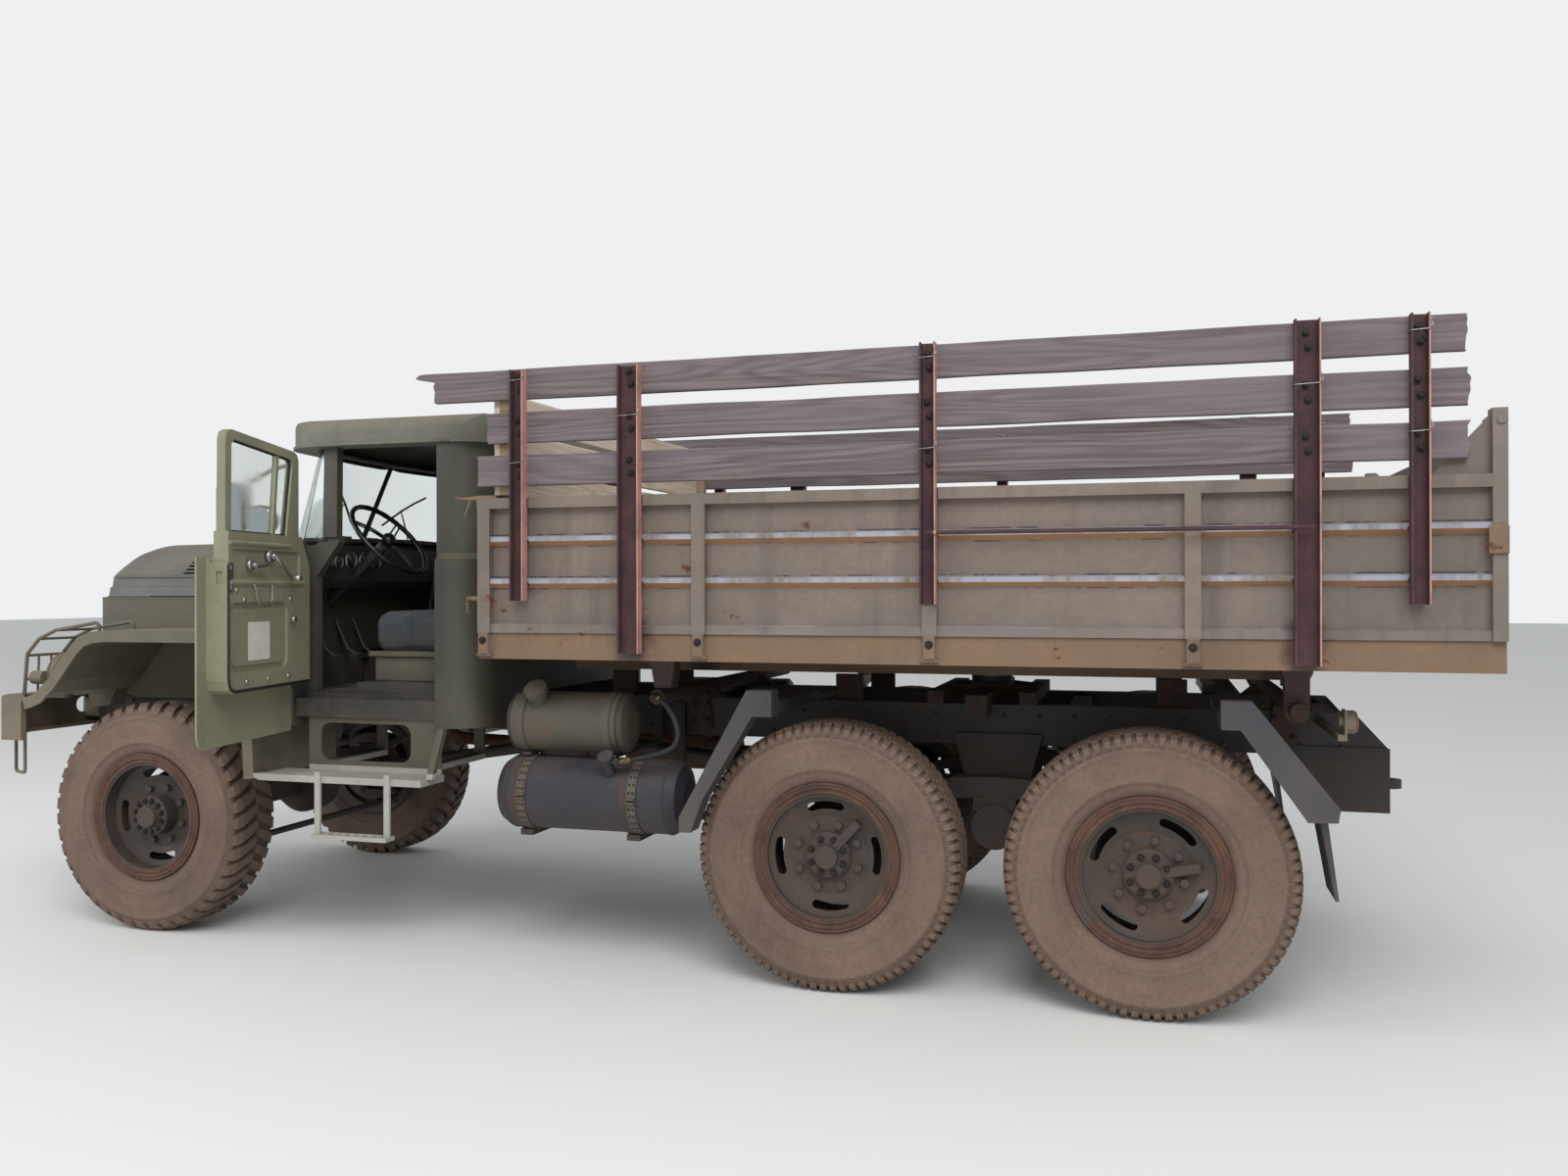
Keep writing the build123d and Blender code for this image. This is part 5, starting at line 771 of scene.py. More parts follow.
def boardMesh(start, end, low, high, near, far, rise, seed, along="X", splinter=0.0):
    # rough sawn board: waney edges, worn corners and torn ends
    levels = boardLook["levels"]
    count = max(8, int(abs(end - start) / boardLook["station"]))
    out = 1 if far > near else -1
    way = 1 if end < start else -1
    verts = []
    for i in range(count + 1):
        t = i / count
        u = start + (end - start) * t
        bow = boardLook["bow"] * noise.noise(Vector((u * 0.7, seed, 0.3)))
        lowEdge = low + rise * t + boardLook["wane"] * max(0.0, noise.noise(Vector((u * 2.1, seed, 1.0))) + 0.35)
        highEdge = high + rise * t - boardLook["wane"] * max(0.0, noise.noise(Vector((u * 2.3, seed, 5.0))) + 0.35)
        for face, y, turn in ((0, near, 1), (1, far, -1)):
            for share in levels[::turn]:
                inset = boardLook["chamfer"] if share in (0.0, 1.0) else 0.0
                spot = Vector((share * 9, seed * 3.3, face * 0.4 + (9 if t > 0.5 else 0)))
                tear = boardLook["jag"] * (0.5 + noise.noise(spot))
                x = u
                if i == 0:
                    x = start - way * (tear - splinter * max(0.0, 1 - abs(share - 0.9) / 0.16))
                elif i == count:
                    x = end + way * tear
                across = y + turn * (inset * out + bow)
                level = lowEdge + (highEdge - lowEdge) * share
                verts.append(place(x, across, level) if along == "X" else place(across, x, level))
    ring = 2 * len(levels)
    faces = []
    for i in range(0, count * ring, ring):
        for k in range(ring):
            m = (k + 1) % ring
            faces.append((i + k, i + m, i + ring + m, i + ring + k))
    for base in (0, count * ring):
        for k in range(len(levels) - 1):
            faces.append((base + k, base + k + 1, base + ring - 2 - k, base + ring - 1 - k))
    return meshFrom(verts, faces)


def makeBoards():
    bolts = []
    cleats = []
    for side, word in sides:
        boards = []
        for i, (low, high, rise, front, rear) in enumerate(boardRows):
            tip = boardLook["tip"] if side > 0 and i == 2 else 0.0  # the top left board is torn to a point
            boards.append(boardMesh(front, rear, low, high, side * boardLook["near"], side * boardLook["far"], rise,
                                    3 * i + side, splinter=tip))
        piece(word + "Boards", boards, "bed", oldWood, ["planks"])
        cleats.append(slab((-2.0395, side * 1.1705, 2.023), (-1.9902, side * 1.2155, 2.467)))
        for x, bottom, top, width in stakeRows:
            for low, high, rise, front, rear in boardRows:
                lift = rise * (front - x) / (front - rear)
                for share in (0.3, 0.7):
                    bolt = (x + (share - 0.5) * 0.02, side * boardLook["bolts"], low + lift + (high - low) * share)
                    bolts.append((place(*bolt), (0, side, 0)))
    half = boardLook["frontHalf"]
    boards = [boardMesh(-half, half, z + 0.002, z + 0.136, *boardLook["front"], 0, 20 + i, "Y")
              for i, z in enumerate(boardLook["frontRows"])]
    piece("frontBoards", boards, "bed", newWood, ["planks"])
    piece("frontCleats", cleats, "bed", postWood, ["planks"])
    scattered("boardBolts", "bolt", bolts, "bed", darkSteel)


# weld beads beside the stakes, at the wall's top and its ribs
weldLook = {"step": 0.006, "wobble": 0.002, "across": 1.2528, "top": (1.968, 2.006, 0.0042), "ribs": (1.655, 1.83),
            "rib": 0.004}


def weldBead(a, b, radius, seed):
    a = Vector(a)
    b = Vector(b)
    count = max(4, int((b - a).length / weldLook["step"]))
    points = []
    for i in range(count + 1):
        t = i / count
        points.append(place(*(a.lerp(b, t) + noise.noise_vector(Vector((t * 9, seed, 0))) * weldLook["wobble"])))
    return tube(points, [radius * (0.72 + 0.28 * abs(math.sin(i * 1.6))) for i in range(count + 1)], 7)


def makeWelds():
    beads = []
    low, high, radius = weldLook["top"]
    for side, word in sides:
        for n, (x, bottom, top, width) in enumerate(stakeRows):
            for edge in (-1, 1):
                u = x + edge * width / 2
                y = side * weldLook["across"]
                beads.append(weldBead((u, y, low), (u, y, high), radius, n + edge))
                for z in weldLook["ribs"]:
                    if bottom < z:
                        foot = (u, side * 1.243, z - 0.012)
                        beads.append(weldBead(foot, (u, side * 1.2445, z + 0.006), weldLook["rib"], n + z))
    piece("stakeWelds", beads, "bed", weldSteel)
    print("boards")


# seats: name, size, middle, lean in degrees, sewn channels across
seatLook = {"voxel": 0.011, "pressure": 4.0, "cap": 0.022, "frames": 20, "shrink": 0.93, "channel": 0.010,
            "piping": 0.004, "limit": 0.006}
seatPads = (
    ("driverCushion", (0.475, 0.585, 0.185), (-1.318, 0.545, 1.436), 2.5, (-0.1, 0.1)),
    ("driverBack", (0.10, 0.585, 0.44), (-1.592, 0.545, 1.768), -9.2, (-0.1, 0.1)),
    ("benchCushion", (0.475, 0.845, 0.185), (-1.318, -0.435, 1.436), 2.5, (-0.14, 0.14)),
    ("benchBack", (0.10, 0.845, 0.44), (-1.592, -0.435, 1.768), -9.2, (-0.14, 0.14)),
)


def swollen(obj, rest):
    # cloth under pressure, its movement capped
    mod = obj.modifiers.new("cloth", "CLOTH")
    cloth = mod.settings
    cloth.quality = 4
    cloth.mass = 0.3
    cloth.tension_stiffness = 18
    cloth.compression_stiffness = 18
    cloth.bending_stiffness = 1.2
    cloth.use_pressure = True
    cloth.uniform_pressure_force = seatLook["pressure"]
    cloth.effector_weights.gravity = 0
    mod.collision_settings.use_collision = False
    for number in range(1, seatLook["frames"] + 1):
        scene.frame_set(number)
    final = obj.evaluated_get(bpy.context.evaluated_depsgraph_get()).data
    moved = []
    for p, vertex in zip(rest, final.vertices):
        step = vertex.co - p
        if step.length > seatLook["cap"]:
            step = step.normalized() * seatLook["cap"]
        moved.append(p + step)
    obj.modifiers.clear()
    scene.frame_set(1)
    return moved


def makePad(name, size, middle, lean, channels):
    bm = bmesh.new()
    bmesh.ops.create_cube(bm, size=1)
    bmesh.ops.scale(bm, vec=[v * seatLook["shrink"] for v in size], verts=bm.verts)
    bmesh.ops.bevel(bm, geom=bm.edges[:], offset=min(size) * 0.3, segments=5, profile=0.6, affect="EDGES")
    mesh = bpy.data.meshes.new(name)
    bm.to_mesh(mesh)
    bm.free()
    obj = newObject(name, mesh)
    remesh = obj.modifiers.new("remesh", "REMESH")
    remesh.mode = "VOXEL"
    remesh.voxel_size = seatLook["voxel"]
    remesh.use_smooth_shade = True
    applied(obj)
    rest = [v.co.copy() for v in obj.data.vertices]
    moved = swollen(obj, rest)
    flat = min(range(3), key=lambda k: size[k])
    half = [v / 2 for v in size]
    bm = bmesh.new()
    bm.from_mesh(obj.data)
    for vertex, p in zip(bm.verts, moved):
        q = p.copy()
        face = 1 if q[flat] > 0 else -1
        for seam in channels:
            depth = seatLook["channel"] * math.exp(-((q.y - seam) / 0.009) ** 2)
            if abs(q[flat]) > half[flat] * 0.5:
                q[flat] -= face * depth
        edge = abs(abs(q[flat]) - half[flat] * 0.62)
        pull = seatLook["piping"] * math.exp(-(edge / 0.004) ** 2)
        for k in range(3):
            if k != flat and abs(q[k]) > half[k] * 0.8:
                q[k] -= math.copysign(pull, q[k])
            limit = half[k] + seatLook["limit"]
            q[k] = max(-limit, min(limit, q[k]))
        vertex.co = q
    bmesh.ops.smooth_vert(bm, verts=bm.verts, factor=0.3, use_axis_x=True, use_axis_y=True, use_axis_z=True)
    bm.transform(Matrix.Translation(place(*middle)) @ Matrix.Rotation(math.radians(lean), 4, "Y"))
    for face in bm.faces:
        face.smooth = True
    bm.to_mesh(obj.data)
    bm.free()
    finishPiece(obj, "chassis", seatVinyl, ["seats"])


def makeSeats():
    for row in seatPads:
        makePad(*row)
    bars = []
    for y0, y1 in ((0.28, 0.81), (-0.83, -0.2)):
        bars.append(slab((-1.478, y0, 1.202), (-1.112, y1, 1.318), 0.006))
        for z in (1.222, 1.296):
            bars.append(slab((-1.1122, y0 + 0.03, z), (-1.1065, y1 - 0.03, z + 0.012), 0.002))
        for y in (y0 + 0.04, y1 - 0.065):
            bars.append(slab((-1.1125, y, 1.2), (-1.104, y + 0.025, 1.33), 0.003))
        bars.append(slab((-1.54, y0 - 0.02, 1.318), (-1.09, y1 + 0.02, 1.341)))
    for y in (0.33, 0.76, -0.78, -0.09):
        bars.append(rod(((-1.53, y, 1.33), (-1.62, y, 1.40), (-1.688, y, 1.93)), 0.05, 0.011))
    piece("seatFrames", bars, "chassis", interiorPaint, ["seats"])
    print("seats")


# steering wheel: thin rim, three sprung spokes, dished hub
steeringLook = {"middle": (-0.982, 0.5, 1.880), "lean": 48, "radius": 0.22, "rod": 0.0118, "grip": 0.0012,
                "spoke": ((0.03, -0.004, 1.0), (0.11, 0.006, 1.0), (0.215, 0.0, 0.8)), "hub": (
                    (0.0, -0.024), (0.026, -0.024), (0.034, -0.012), (0.037, 0.004), (0.03, 0.016), (0.024, 0.02),
                    (0.022, 0.024), (0.0, 0.025))}


def makeSteeringWheel():
    lean = math.radians(steeringLook["lean"])
    up = Vector((-math.sin(lean), 0, math.cos(lean)))
    across = Vector((0, 1, 0))
    turn = Matrix((across, up.cross(across), up)).transposed().to_4x4()
    turn = Matrix.Translation(place(*steeringLook["middle"])) @ turn
    angles = [fullTurn * i / 96 for i in range(96)]
    rim = [(steeringLook["radius"] * math.cos(a), steeringLook["radius"] * math.sin(a), 0.0) for a in angles]
    radii = [steeringLook["rod"] + steeringLook["grip"] * abs(math.sin(i * math.pi / 4)) for i in range(96)]
    meshes = [tube(rim, radii, 12, closed=True)]
    for i in range(3):
        a = fullTurn * i / 3 + math.pi / 2
        for off in (-0.012, 0.012):
            side = Vector((-math.sin(a), math.cos(a), 0)) * off
            run = [Vector((r * math.cos(a), r * math.sin(a), z)) + side * share
                   for r, z, share in steeringLook["spoke"]]
            meshes.append(tube(roundedPath(run, 0.04), 0.0048, 8))
    meshes.append(spun(steeringLook["hub"], 32, axis="Z"))
    for mesh in meshes:
        mesh.transform(turn)
    piece("steeringWheel", meshes, "steering_wheel", wheelPlastic, ["steering_wheel"])


# glass seals: the screen's foot and head in plan, and lines with where they lie across a closed door
screenFoot = ((-0.470, 0.008), (-0.503, 0.350), (-0.592, 0.640), (-0.682, 0.800), (-0.790, 0.893), (-0.912, 0.905))
screenHead = ((-0.650, 0.008), (-0.668, 0.350), (-0.727, 0.640), (-0.798, 0.792), (-0.872, 0.868), (-0.918, 0.885))
sealLines = {
    "rear": [(-1.736, y, z) for y, z in ((-0.46, 1.925), (0.46, 1.925), (0.46, 2.235), (-0.46, 2.235))],
    "window": (0.948, (0.204, 1.868), (0.144, 2.196), (0.158, 2.214), (0.648, 2.246), (0.672, 2.222), (0.676, 1.868)),
    "tray": (0.917, (0.02, 1.214), (0.676, 1.214), (0.712, 1.230), (0.725, 1.268), (0.725, 1.73)),
    "vent": (0.948, (0.311, 1.868), (0.266, 2.22)),
}


def screenRun(plan, inward=0.0):
    run = arcPoints(*plan[:3], 10) + arcPoints(*plan[2:5], 8)[1:] + [plan[5]]
    return [(x - inward, y) for x, y in run]


def sealLoop(points, bend, radius):
    start = (points[0] + points[-1]) / 2
    return tube(roundedPath([start, *points, start], bend), radius, 8)


def makeSeals():
    foot = [(x, y, 1.899 - 0.052 * (y / 1.01) ** 2) for x, y in screenRun(screenFoot, 0.004)]
    head = [(x, y, 2.284) for x, y in screenRun(screenHead, 0.004)]
    seals = [tube(placed(foot + head[::-1] + [foot[0]], side), 0.009, 8) for side, word in sides]
    seals.append(sealLoop(placed(sealLines["rear"]), 0.07, 0.011))
    piece("cabSeals", seals, "chassis", blackRubber)
    for side, word in sides:
        window, tray, vent = [[doorPoint(s, sealLines[key][0], z, side) for s, z in sealLines[key][1:]]
                              for key in ("window", "tray", "vent")]
        seals = [sealLoop(window, 0.02, 0.0085), tube(roundedPath(tray, 0.03), 0.0075, 8), tube(vent, 0.0075, 8)]
        piece(word + "DoorSeals", seals, word + "_door", blackRubber)


# inside of the doors: winder, release lever and wire bail, and the mirrors' faces; points as for doorPoint
doorLook = {
    "bosses": ((0.390, 1.773, 0.928, 0.902, 0.026), (0.390, 1.773, 0.904, 0.884, 0.014),  # s, z, from, to, radius
               (0.243, 1.682, 0.888, 0.845, 0.0135), (0.55, 1.735, 0.928, 0.905, 0.022),
               (0.189, 1.499, 0.918, 0.895, 0.015)),
    "rods": ((((0.390, 0.888, 1.773), (0.33, 0.884, 1.733), (0.243, 0.886, 1.682)), 0.0075, 0.015, 10),
             (((0.55, 0.902, 1.735), (0.505, 0.898, 1.728), (0.445, 0.90, 1.735)), 0.0085, 0.015, 10),
             (((0.391, 0.918, 1.650), (0.391, 0.900, 1.650), (0.400, 0.896, 1.575), (0.462, 0.895, 1.554),
               (0.529, 0.896, 1.575), (0.538, 0.900, 1.650), (0.538, 0.918, 1.650)), 0.0032, 0.03, 7)),
    "screws": ((0.707, 1.64), (0.707, 1.72), (0.20, 1.59), (0.60, 1.59), (0.40, 1.25), (0.66, 1.63), (0.22, 1.25),
               (0.58, 1.25)),
    "plate": (0.690, 0.724, 1.62, 1.74, 0.917, 0.912, 0.008),
    "label": (0.374, 0.555, 1.334, 1.495, 0.9222, 0.9212, 0.004),
    "tallMirror": ((1.214, 1.872), (1.321, 1.872), (1.321, 2.108), (1.214, 2.108)), "roundMirror": (1.125, 1.945),
}


def doorBoss(side, s, z, y0, y1, radius):
    # short turned boss standing off the door's inside
    points = [doorPoint(s, y0 + (y1 - y0) * share, z, side) for share in (0, 0.02, 0.5, 0.98, 1)]
    return tube(points, [radius * 0.8, radius, radius, radius, radius * 0.8], 18)


def doorPlate(side, s0, s1, z0, z1, y0, y1, corner):
    # thin plate with rounded corners, parallel to the door
    outline = []
    for s, z, start in ((s0 + corner, z0 + corner, 180), (s1 - corner, z0 + corner, 270),
                        (s1 - corner, z1 - corner, 0), (s0 + corner, z1 - corner, 90)):
        for i in range(6):
            a = math.radians(start + 18 * i)
            outline.append((s + corner * math.cos(a), z + corner * math.sin(a)))
    return prism(*[[doorPoint(s, y, z, side) for s, z in outline] for y in (y0, y1)])


def makeDoorTrim():
    for side, word in sides:
        body = word + "_door"
        meshes = [doorBoss(side, *row) for row in doorLook["bosses"]]
        for points, radius, bend, around in doorLook["rods"]:
            meshes.append(tube(roundedPath([doorPoint(*p, side) for p in points], bend), radius, around))
        meshes.append(doorPlate(side, *doorLook["plate"]))
        piece(word + "DoorFittings", meshes, body, brightMetal)
        inward = doorPoint(0, 0.0, 0, side) - doorPoint(0, 1.0, 0, side)
        rows = [(doorPoint(s, 0.9155, z, side), inward) for s, z in doorLook["screws"]]
        scattered(word + "DoorScrews", "rivet", rows, body, brightMetal)
        if side > 0:
            piece("doorLabel", [doorPlate(side, *doorLook["label"])], body, labelPaper)
        tall = prism(*[[doorPoint(s, y, z, side) for y, z in doorLook["tallMirror"]] for s in (0.0725, 0.0742)])
        y, z = doorLook["roundMirror"]
        angles = [math.pi * i / 16 for i in range(32)]
        disc = prism(*[[doorPoint(s, y + r * math.cos(a), z + r * math.sin(a), side) for a in angles]
                       for s, r in ((0.0758, 0.062), (0.0745, 0.064))])
        piece(word + "MirrorFaces", [tall, disc], body, mirrorGlass)
    print("doors")


# lamp lenses and rims: piece, middle across and up, sides, material, outline of radius and place along the truck
lensRows = (
    ("headlampLenses", 0.79, 1.2, 40, lampGlass, ((0.0, 0.752), (0.03, 0.7512), (0.06, 0.7485), (0.085, 0.7435),
                                                  (0.098, 0.737), (0.1, 0.731), (0.0, 0.731))),
    ("indicatorLenses", 0.9, 1.19, 28, amberLens, ((0.0, 0.828), (0.016, 0.8265), (0.028, 0.822), (0.033, 0.815),
                                                   (0.033, 0.811), (0.0, 0.811))),
    ("tailLenses", 1.0, 1.144, 28, redLens, ((0.0, -5.328), (0.022, -5.3265), (0.036, -5.322), (0.04, -5.316),
                                             (0.04, -5.314), (0.0, -5.314))),
    ("lampRims", 0.79, 1.2, 40, oliveFender, ((0.097, 0.728), (0.108, 0.726), (0.114, 0.729), (0.112, 0.738),
                                              (0.103, 0.742), (0.098, 0.738))),
)


def makeLenses():
    for name, y, z, segments, material, outline in lensRows:
        meshes = [spun(outline, segments, place(0, side * y, z), "X") for side, word in sides]
        piece(name, meshes, "chassis", material)


# gas hose from the bearing to the cylinder's valve
hoseLook = {"radius": 0.011, "line": ((-2.600, 1.000, 1.180), (-2.700, 1.085, 1.150), (-2.760, 1.105, 1.020),
                                      (-2.700, 1.110, 0.950), (-2.483, 1.086, 0.908)),
            "ferrule": ((-0.012, 0.012), (0.005, 0.0155), (0.04, 0.0155), (0.05, 0.0125))}


def makeHose():
    points = placed(hoseLook["line"])
    data = bpy.data.curves.new("gasHoseLine", "CURVE")
    data.dimensions = "3D"
    spline = data.splines.new("NURBS")
    spline.points.add(len(points) - 1)
    for point, p in zip(spline.points, points):
        point.co = (*p, 1)
    spline.order_u = 3
    spline.use_endpoint_u = True
    spline.resolution_u = 16
    obj = newObject("gasHose", data)
    bpy.context.view_layer.update()
    line = bpy.data.meshes.new_from_object(obj.evaluated_get(bpy.context.evaluated_depsgraph_get()))
    bpy.data.meshes.remove(line)
    data.bevel_depth = hoseLook["radius"]
    data.bevel_resolution = 4
    data.use_fill_caps = True
    data.materials.append(blackRubber)
    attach(obj, "chassis")
    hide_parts("gas_hose")
    ends = []
    for start, after in ((points[0], points[1]), (points[-1], points[-2])):
        way = (after - start).normalized()
        run = [start + way * off for off, r in hoseLook["ferrule"]]
        ends.append(tube(run, [r for off, r in hoseLook["ferrule"]], 12))
    ferrules = piece("hoseFerrules", ends, "chassis", brassFitting)


# straps and seams round the two tanks, which lie along the truck
tankLook = {"gas": (0.935, 0.745), "air": (0.935, 1.055), "straps": (-2.02, -2.53), "studs": 30}
tankRings = (  # piece, tank, places along, sides, rounded, outline of radius and offset
    ("tankBands", "gas", (-2.02, -2.53), 72, False, ((0.1595, -0.019), (0.1632, -0.019), (0.1632, 0.019),
                                                     (0.1595, 0.019))),
    ("tankBands", "air", (-2.0, -2.4), 64, False, ((0.131, -0.017), (0.1352, -0.017), (0.1352, 0.017), (0.131, 0.017))),
    ("tankSeams", "air", (-2.445, -1.95), 64, True, ((0.1305, -0.004), (0.1335, -0.003), (0.1335, 0.003),
                                                     (0.1305, 0.004))),
    ("tankSeams", "gas", (-2.665, -1.944), 64, True, ((0.1578, -0.005), (0.1608, -0.003), (0.1608, 0.003),
                                                      (0.1578, 0.005))),
)


def makeBands():
    meshes = {"tankBands": [], "tankSeams": []}
    for name, tank, rows, segments, rounded, outline in tankRings:
        meshes[name] += [spun(outline, segments, place(x, *tankLook[tank]), "X", rounded) for x in rows]
    studs = []
    for x in tankLook["straps"]:
        meshes["tankBands"] += [slab((x - 0.02, 1.090, z), (x + 0.02, 1.110, z + 0.007), 0.002) for z in (0.735, 0.750)]
        for i in range(tankLook["studs"]):
            a = fullTurn * i / tankLook["studs"]
            way = Vector((0, math.cos(a), math.sin(a)))
            studs += [(place(x + off, *tankLook["gas"]) + way * 0.1626, way) for off in (-0.009, 0.009)]
    piece("tankBands", meshes["tankBands"], "chassis", strapSteel)
    scattered("bandStuds", "screw", studs, "chassis", darkSteel)
    piece("tankSeams", meshes["tankSeams"], "chassis", cylinderPaint)


# wheels: rusty lock ring, and hub bolts standing out from the rim's middle
wheelLook = {
    "front": {"out": 0.105, "bolts": 12, "circle": 0.076}, "rear": {"out": 0.09, "bolts": 8, "circle": 0.072},
    "lockRing": ((0.2575, 0.098), (0.296, 0.103), (0.3025, 0.109), (0.304, 0.1195), (0.3005, 0.1245), (0.2945, 0.1255),
                 (0.2925, 0.1228), (0.2885, 0.1226), (0.2865, 0.1262), (0.2795, 0.1262), (0.2775, 0.1208),
                 (0.269, 0.1196), (0.267, 0.1235), (0.2585, 0.1228), (0.2555, 0.117), (0.2555, 0.112)),
}


def makeWheelTrim():
    for name in wheelNames:
        low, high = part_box(name + "_tyre")
        hub = Vector(((low.x + high.x) / 2, (low.y + high.y) / 2, wheelZ))
        side = 1 if name.endswith("left") else -1
        look = wheelLook["front" if name.startswith("front") else "rear"]
        ring = spun([(r, side * along) for r, along in wheelLook["lockRing"]], 96, hub)
        piece(name + "LockRing", [ring], name + "_wheel", lockRust)
        rows = []
        for i in range(look["bolts"]):
            a = fullTurn * (i + 0.5) / look["bolts"]
            spot = Vector((look["circle"] * math.cos(a), side * look["out"], look["circle"] * math.sin(a)))
            rows.append((hub + spot, (0, side, 0)))
        scattered(name + "HubBolts", "bolt", rows, name + "_wheel", darkSteel)
    print("wheels")


# bed's small ironwork: front hooks, pins with their springs, latch tabs, post feet, wire ties
postRow = (-1.935, -2.887, -3.81, -4.753)
ironLook = {"hook": ((-1.985, 1.232, 2.013), (-1.90, 1.235, 2.0125), (-1.85, 1.238, 2.009), (-1.79, 1.24, 2.016)),
            "leg": ((-1.868, 1.237, 2.008), (-1.855, 1.238, 1.97), (-1.838, 1.238, 1.93)),
            "pin": [(x, 1.236, 1.591) for x in (-1.93, -1.89, -1.85)], "spring": (-1.858, 1.236, 1.577), "turns": 4,
            "feet": (1.2562, 1.2592, 1.2595, 1.418)}  # the feet's near and far face, and their bolts
tieLook = {"levels": (2.150, 2.325, 2.49), "near": 1.2148, "far": 1.2965, "clear": 0.0022, "wire": 0.0017,
           "twist": 0.0016}


def wireTie(x, width, z, side):
    # wire round a stake and its board, with its twisted end
    half = width / 2 + tieLook["clear"]
    near, far = side * tieLook["near"], side * tieLook["far"]
    tall = z + 0.006 * (0.12 - x) * 0.3
    loop = ((x - half, near), (x + half, near), (x + half, far), (x - half, far))
    start = place(x, near, tall)
    path = [start] + [place(u, v, tall + 0.008 * math.sin(i * 2.0)) for i, (u, v) in enumerate(loop)] + [start]
    twist = [place(x - half + 0.004 * math.cos(i), far + side * (0.003 + 0.003 * math.sin(i)), tall + 0.004 * i)
             for i in range(9)]
    return [tube(roundedPath(path, 0.006, 3), tieLook["wire"], 6), tube(twist, tieLook["twist"], 6)]


def makeIronwork():
    meshes = []
    ties = []
    for side, word in sides:
        run = roundedPath(placed(ironLook["hook"], side), 0.02)
        meshes.append(tube(run, [0.011 - 0.008 * (i / (len(run) - 1)) ** 2 for i in range(len(run))]))
        meshes.append(rod(ironLook["leg"], 0.015, 0.004, 7, side))
        meshes.append(tube(placed(ironLook["pin"], side), 0.010, 12))
        x, y, z = ironLook["spring"]
        spring = [(x + 0.003 * math.sin(i), y + 0.014 * math.sin(i * math.pi / 6),
                   z - 0.0009 * i + 0.012 * math.cos(i * math.pi / 6)) for i in range(12 * ironLook["turns"] + 1)]
        meshes.append(tube(placed(spring, side), 0.0022, 6))
        meshes.append(slab((-5.7515, side * 1.2545, 1.742), (-5.690, side * 1.2625, 1.838), 0.003))
        near, far = ironLook["feet"][:2]
        for x in postRow:
            meshes.append(slab((x - 0.020, side * near, 1.366), (x + 0.020, side * far, 1.448), 0.002))
            meshes.append(tube(placed([(x + off, 1.2435, 1.357) for off in (-0.034, 0.034)], side), 0.0075))
        for n, (x, bottom, top, width) in enumerate(stakeRows):
            for k, z in enumerate(tieLook["levels"]):
                if (n + k) % 2 == 0:
                    ties += wireTie(x, width, z, side)
    piece("bedIronwork", meshes, "bed", railPaint)
    piece("wireTies", ties, "bed", brightMetal)


# wipers on the screen and gauges in the dash, each across, up and radius
gaugeRows = ((0.36, 1.765, 0.034), (0.46, 1.775, 0.046), (0.57, 1.775, 0.046), (0.67, 1.765, 0.034),
             (0.74, 1.765, 0.026))
wiperLook = {"blade": ((0.14, 1.99), (0.20, 2.035), (0.26, 2.078), (0.33, 2.12), (0.41, 2.16)), "foot": 1.897,
             "head": 2.292}


def screenX(y, z):
    # outside of the windscreen at a height and an offset from the middle
    def along(plan):
        run = screenRun(plan)
        for (x0, y0), (x1, y1) in zip(run, run[1:]):
            if y0 <= y <= y1:
                return x0 + (x1 - x0) * (y - y0) / (y1 - y0)
        return run[0][0]
    t = (z - wiperLook["foot"]) / (wiperLook["head"] - wiperLook["foot"])
    return along(screenFoot) * (1 - t) + along(screenHead) * t


def makeWipers():
    arms = []
    blades = []
    for side, word in sides:
        root = (screenX(0.42, 1.90) + 0.03, 0.42, 1.892)
        knee = (screenX(0.38, 1.96) + 0.030, 0.38, 1.955)
        tip = (screenX(0.26, 2.08) + 0.022, 0.26, 2.08)
        arms.append(rod((root, knee, tip), 0.02, 0.0045, 8, side))
        hub = ((0.0, -0.014), (0.014, -0.014), (0.012, 0.006), (0.0, 0.008))
        arms.append(spun(hub, 16, placed([root], side)[0], "Z"))
        blades.append(tube(placed([(screenX(y, z) + 0.012, y, z) for y, z in wiperLook["blade"]], side), 0.006, 6))
    piece("wiperArms", arms, "chassis", brightMetal)
    piece("wiperBlades", blades, "chassis", blackRubber)


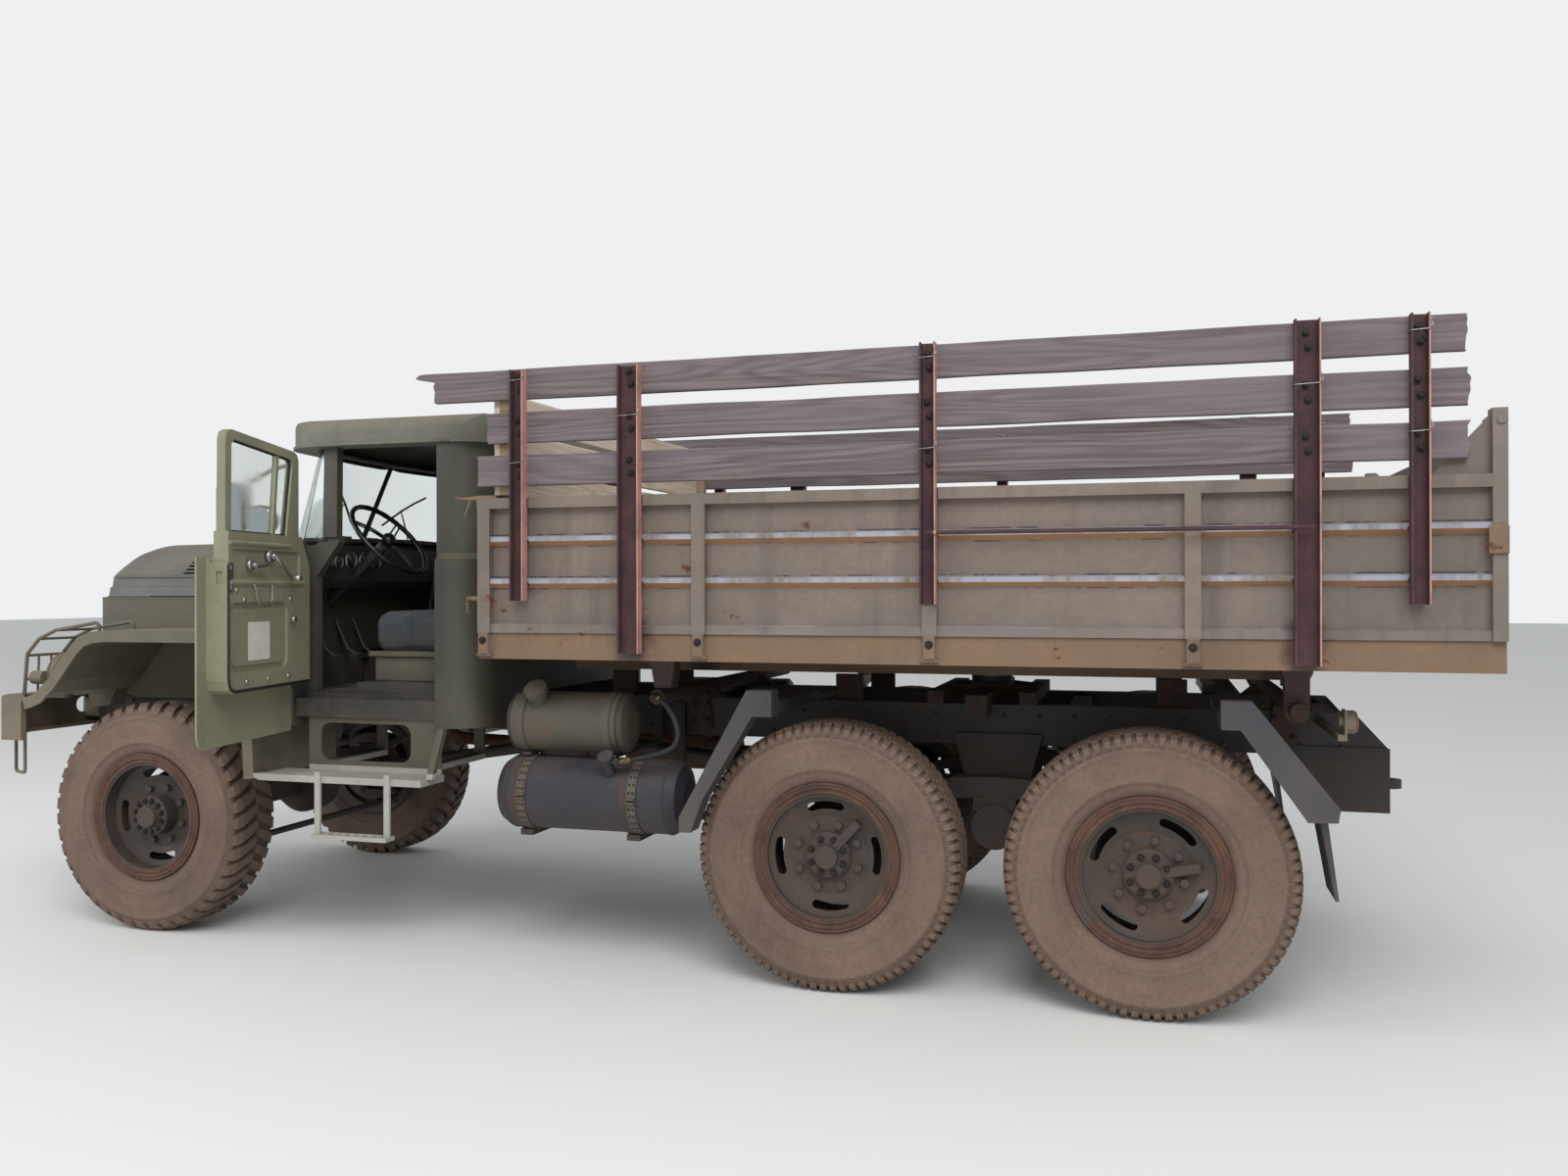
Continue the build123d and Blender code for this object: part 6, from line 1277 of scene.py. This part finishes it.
def makeGauges():
    bezels = []
    dials = []
    marks = []
    for y, z, r in gaugeRows:
        x = -0.8035 - (1.84 - z) * 0.0867  # on the leaning dash
        ring = ((r, 0.004), (r, -0.006), (r * 0.9, -0.009), (r * 0.84, -0.005), (r * 0.86, 0.002))
        bezels.append(spun(ring, 28, place(x, y, z), "X"))
        dial = ((0.0, 0.001), (0.0, -0.002), (r * 0.87, -0.002), (r * 0.87, 0.001))
        dials.append(spun(dial, 28, place(x, y, z), "X"))
        for i in range(9):
            a = math.radians(-30 + i * 30)
            marks.append(tube([place(x - 0.0026, y + r * share * math.cos(a), z + r * share * math.sin(a))
                               for share in (0.72, 0.58)], 0.0009, 5))
        marks.append(tube([place(x - 0.0034, y, z), place(x - 0.0034, y + r * 0.35, z + r * 0.5)], 0.0011, 5))
    piece("gaugeBezels", bezels, "chassis", brightMetal)
    piece("gaugeDials", dials, "chassis", blackPlastic)
    piece("gaugeMarks", marks, "chassis", labelPaper)


def makeStrips():
    # rubber beside the hood's foot, and a drip rail over each door
    strips = [slab((-0.40, side * 0.503, 1.586), (0.733, side * 0.521, 1.5992), 0.002) for side, word in sides]
    piece("hoodStrips", strips, "chassis", blackRubber)
    gutter = ((-0.90, 0.962, 2.297), (-1.10, 0.966, 2.2975), (-1.60, 0.966, 2.2975))
    rails = [tube(placed(gutter, side), 0.0075, 8) for side, word in sides]
    piece("dripRails", rails, "chassis", oliveRoof)


# bolts and rivets on the chassis, each with the way it faces; rail rows hold from where back, and two heights
railLook = {"rivets": 42, "first": 0.80, "pitch": 0.15, "rivetFace": 0.4302, "boltFace": 0.4442,
            "rows": ((9, 1.035, 0.945), (-0.3, 1.05, 0.985), (-0.75, 1.08, 0.985)), "bearers": (-2.605, -5.133)}


def makeFasteners():
    bearers = []
    feet = []
    rivets = []
    for side, word in sides:
        out = (0, side, 0)
        for i in range(railLook["rivets"]):
            x = railLook["first"] - i * railLook["pitch"]
            start, top, low = [row for row in railLook["rows"] if x <= row[0]][-1]
            rivets += [(place(x, side * railLook["rivetFace"], z), out) for z in (top, low)]
        bearers += [(place(x + off, side * railLook["boltFace"], z), out) for x in railLook["bearers"]
                    for off in (-0.035, 0.035) for z in (1.02, 1.10)]
        y, z = ironLook["feet"][2:]
        feet += [(place(x, side * y, z), out) for x in postRow]
    scattered("railRivets", "rivet", rivets, "chassis", chassisBlack)
    scattered("bearerBolts", "bolt", bearers, "chassis", darkSteel)
    scattered("footBolts", "bolt", feet, "bed", darkSteel)


for make in (makeCamera, makeHose, makeStage, makeTyres, makeWheelTrim, makeBoards, makeWelds, makeSeats,
             makeSteeringWheel, makeSeals, makeDoorTrim, makeLenses, makeBands, makeIronwork, makeWipers, makeGauges,
             makeStrips, makeFasteners):
    make()
print("trim")
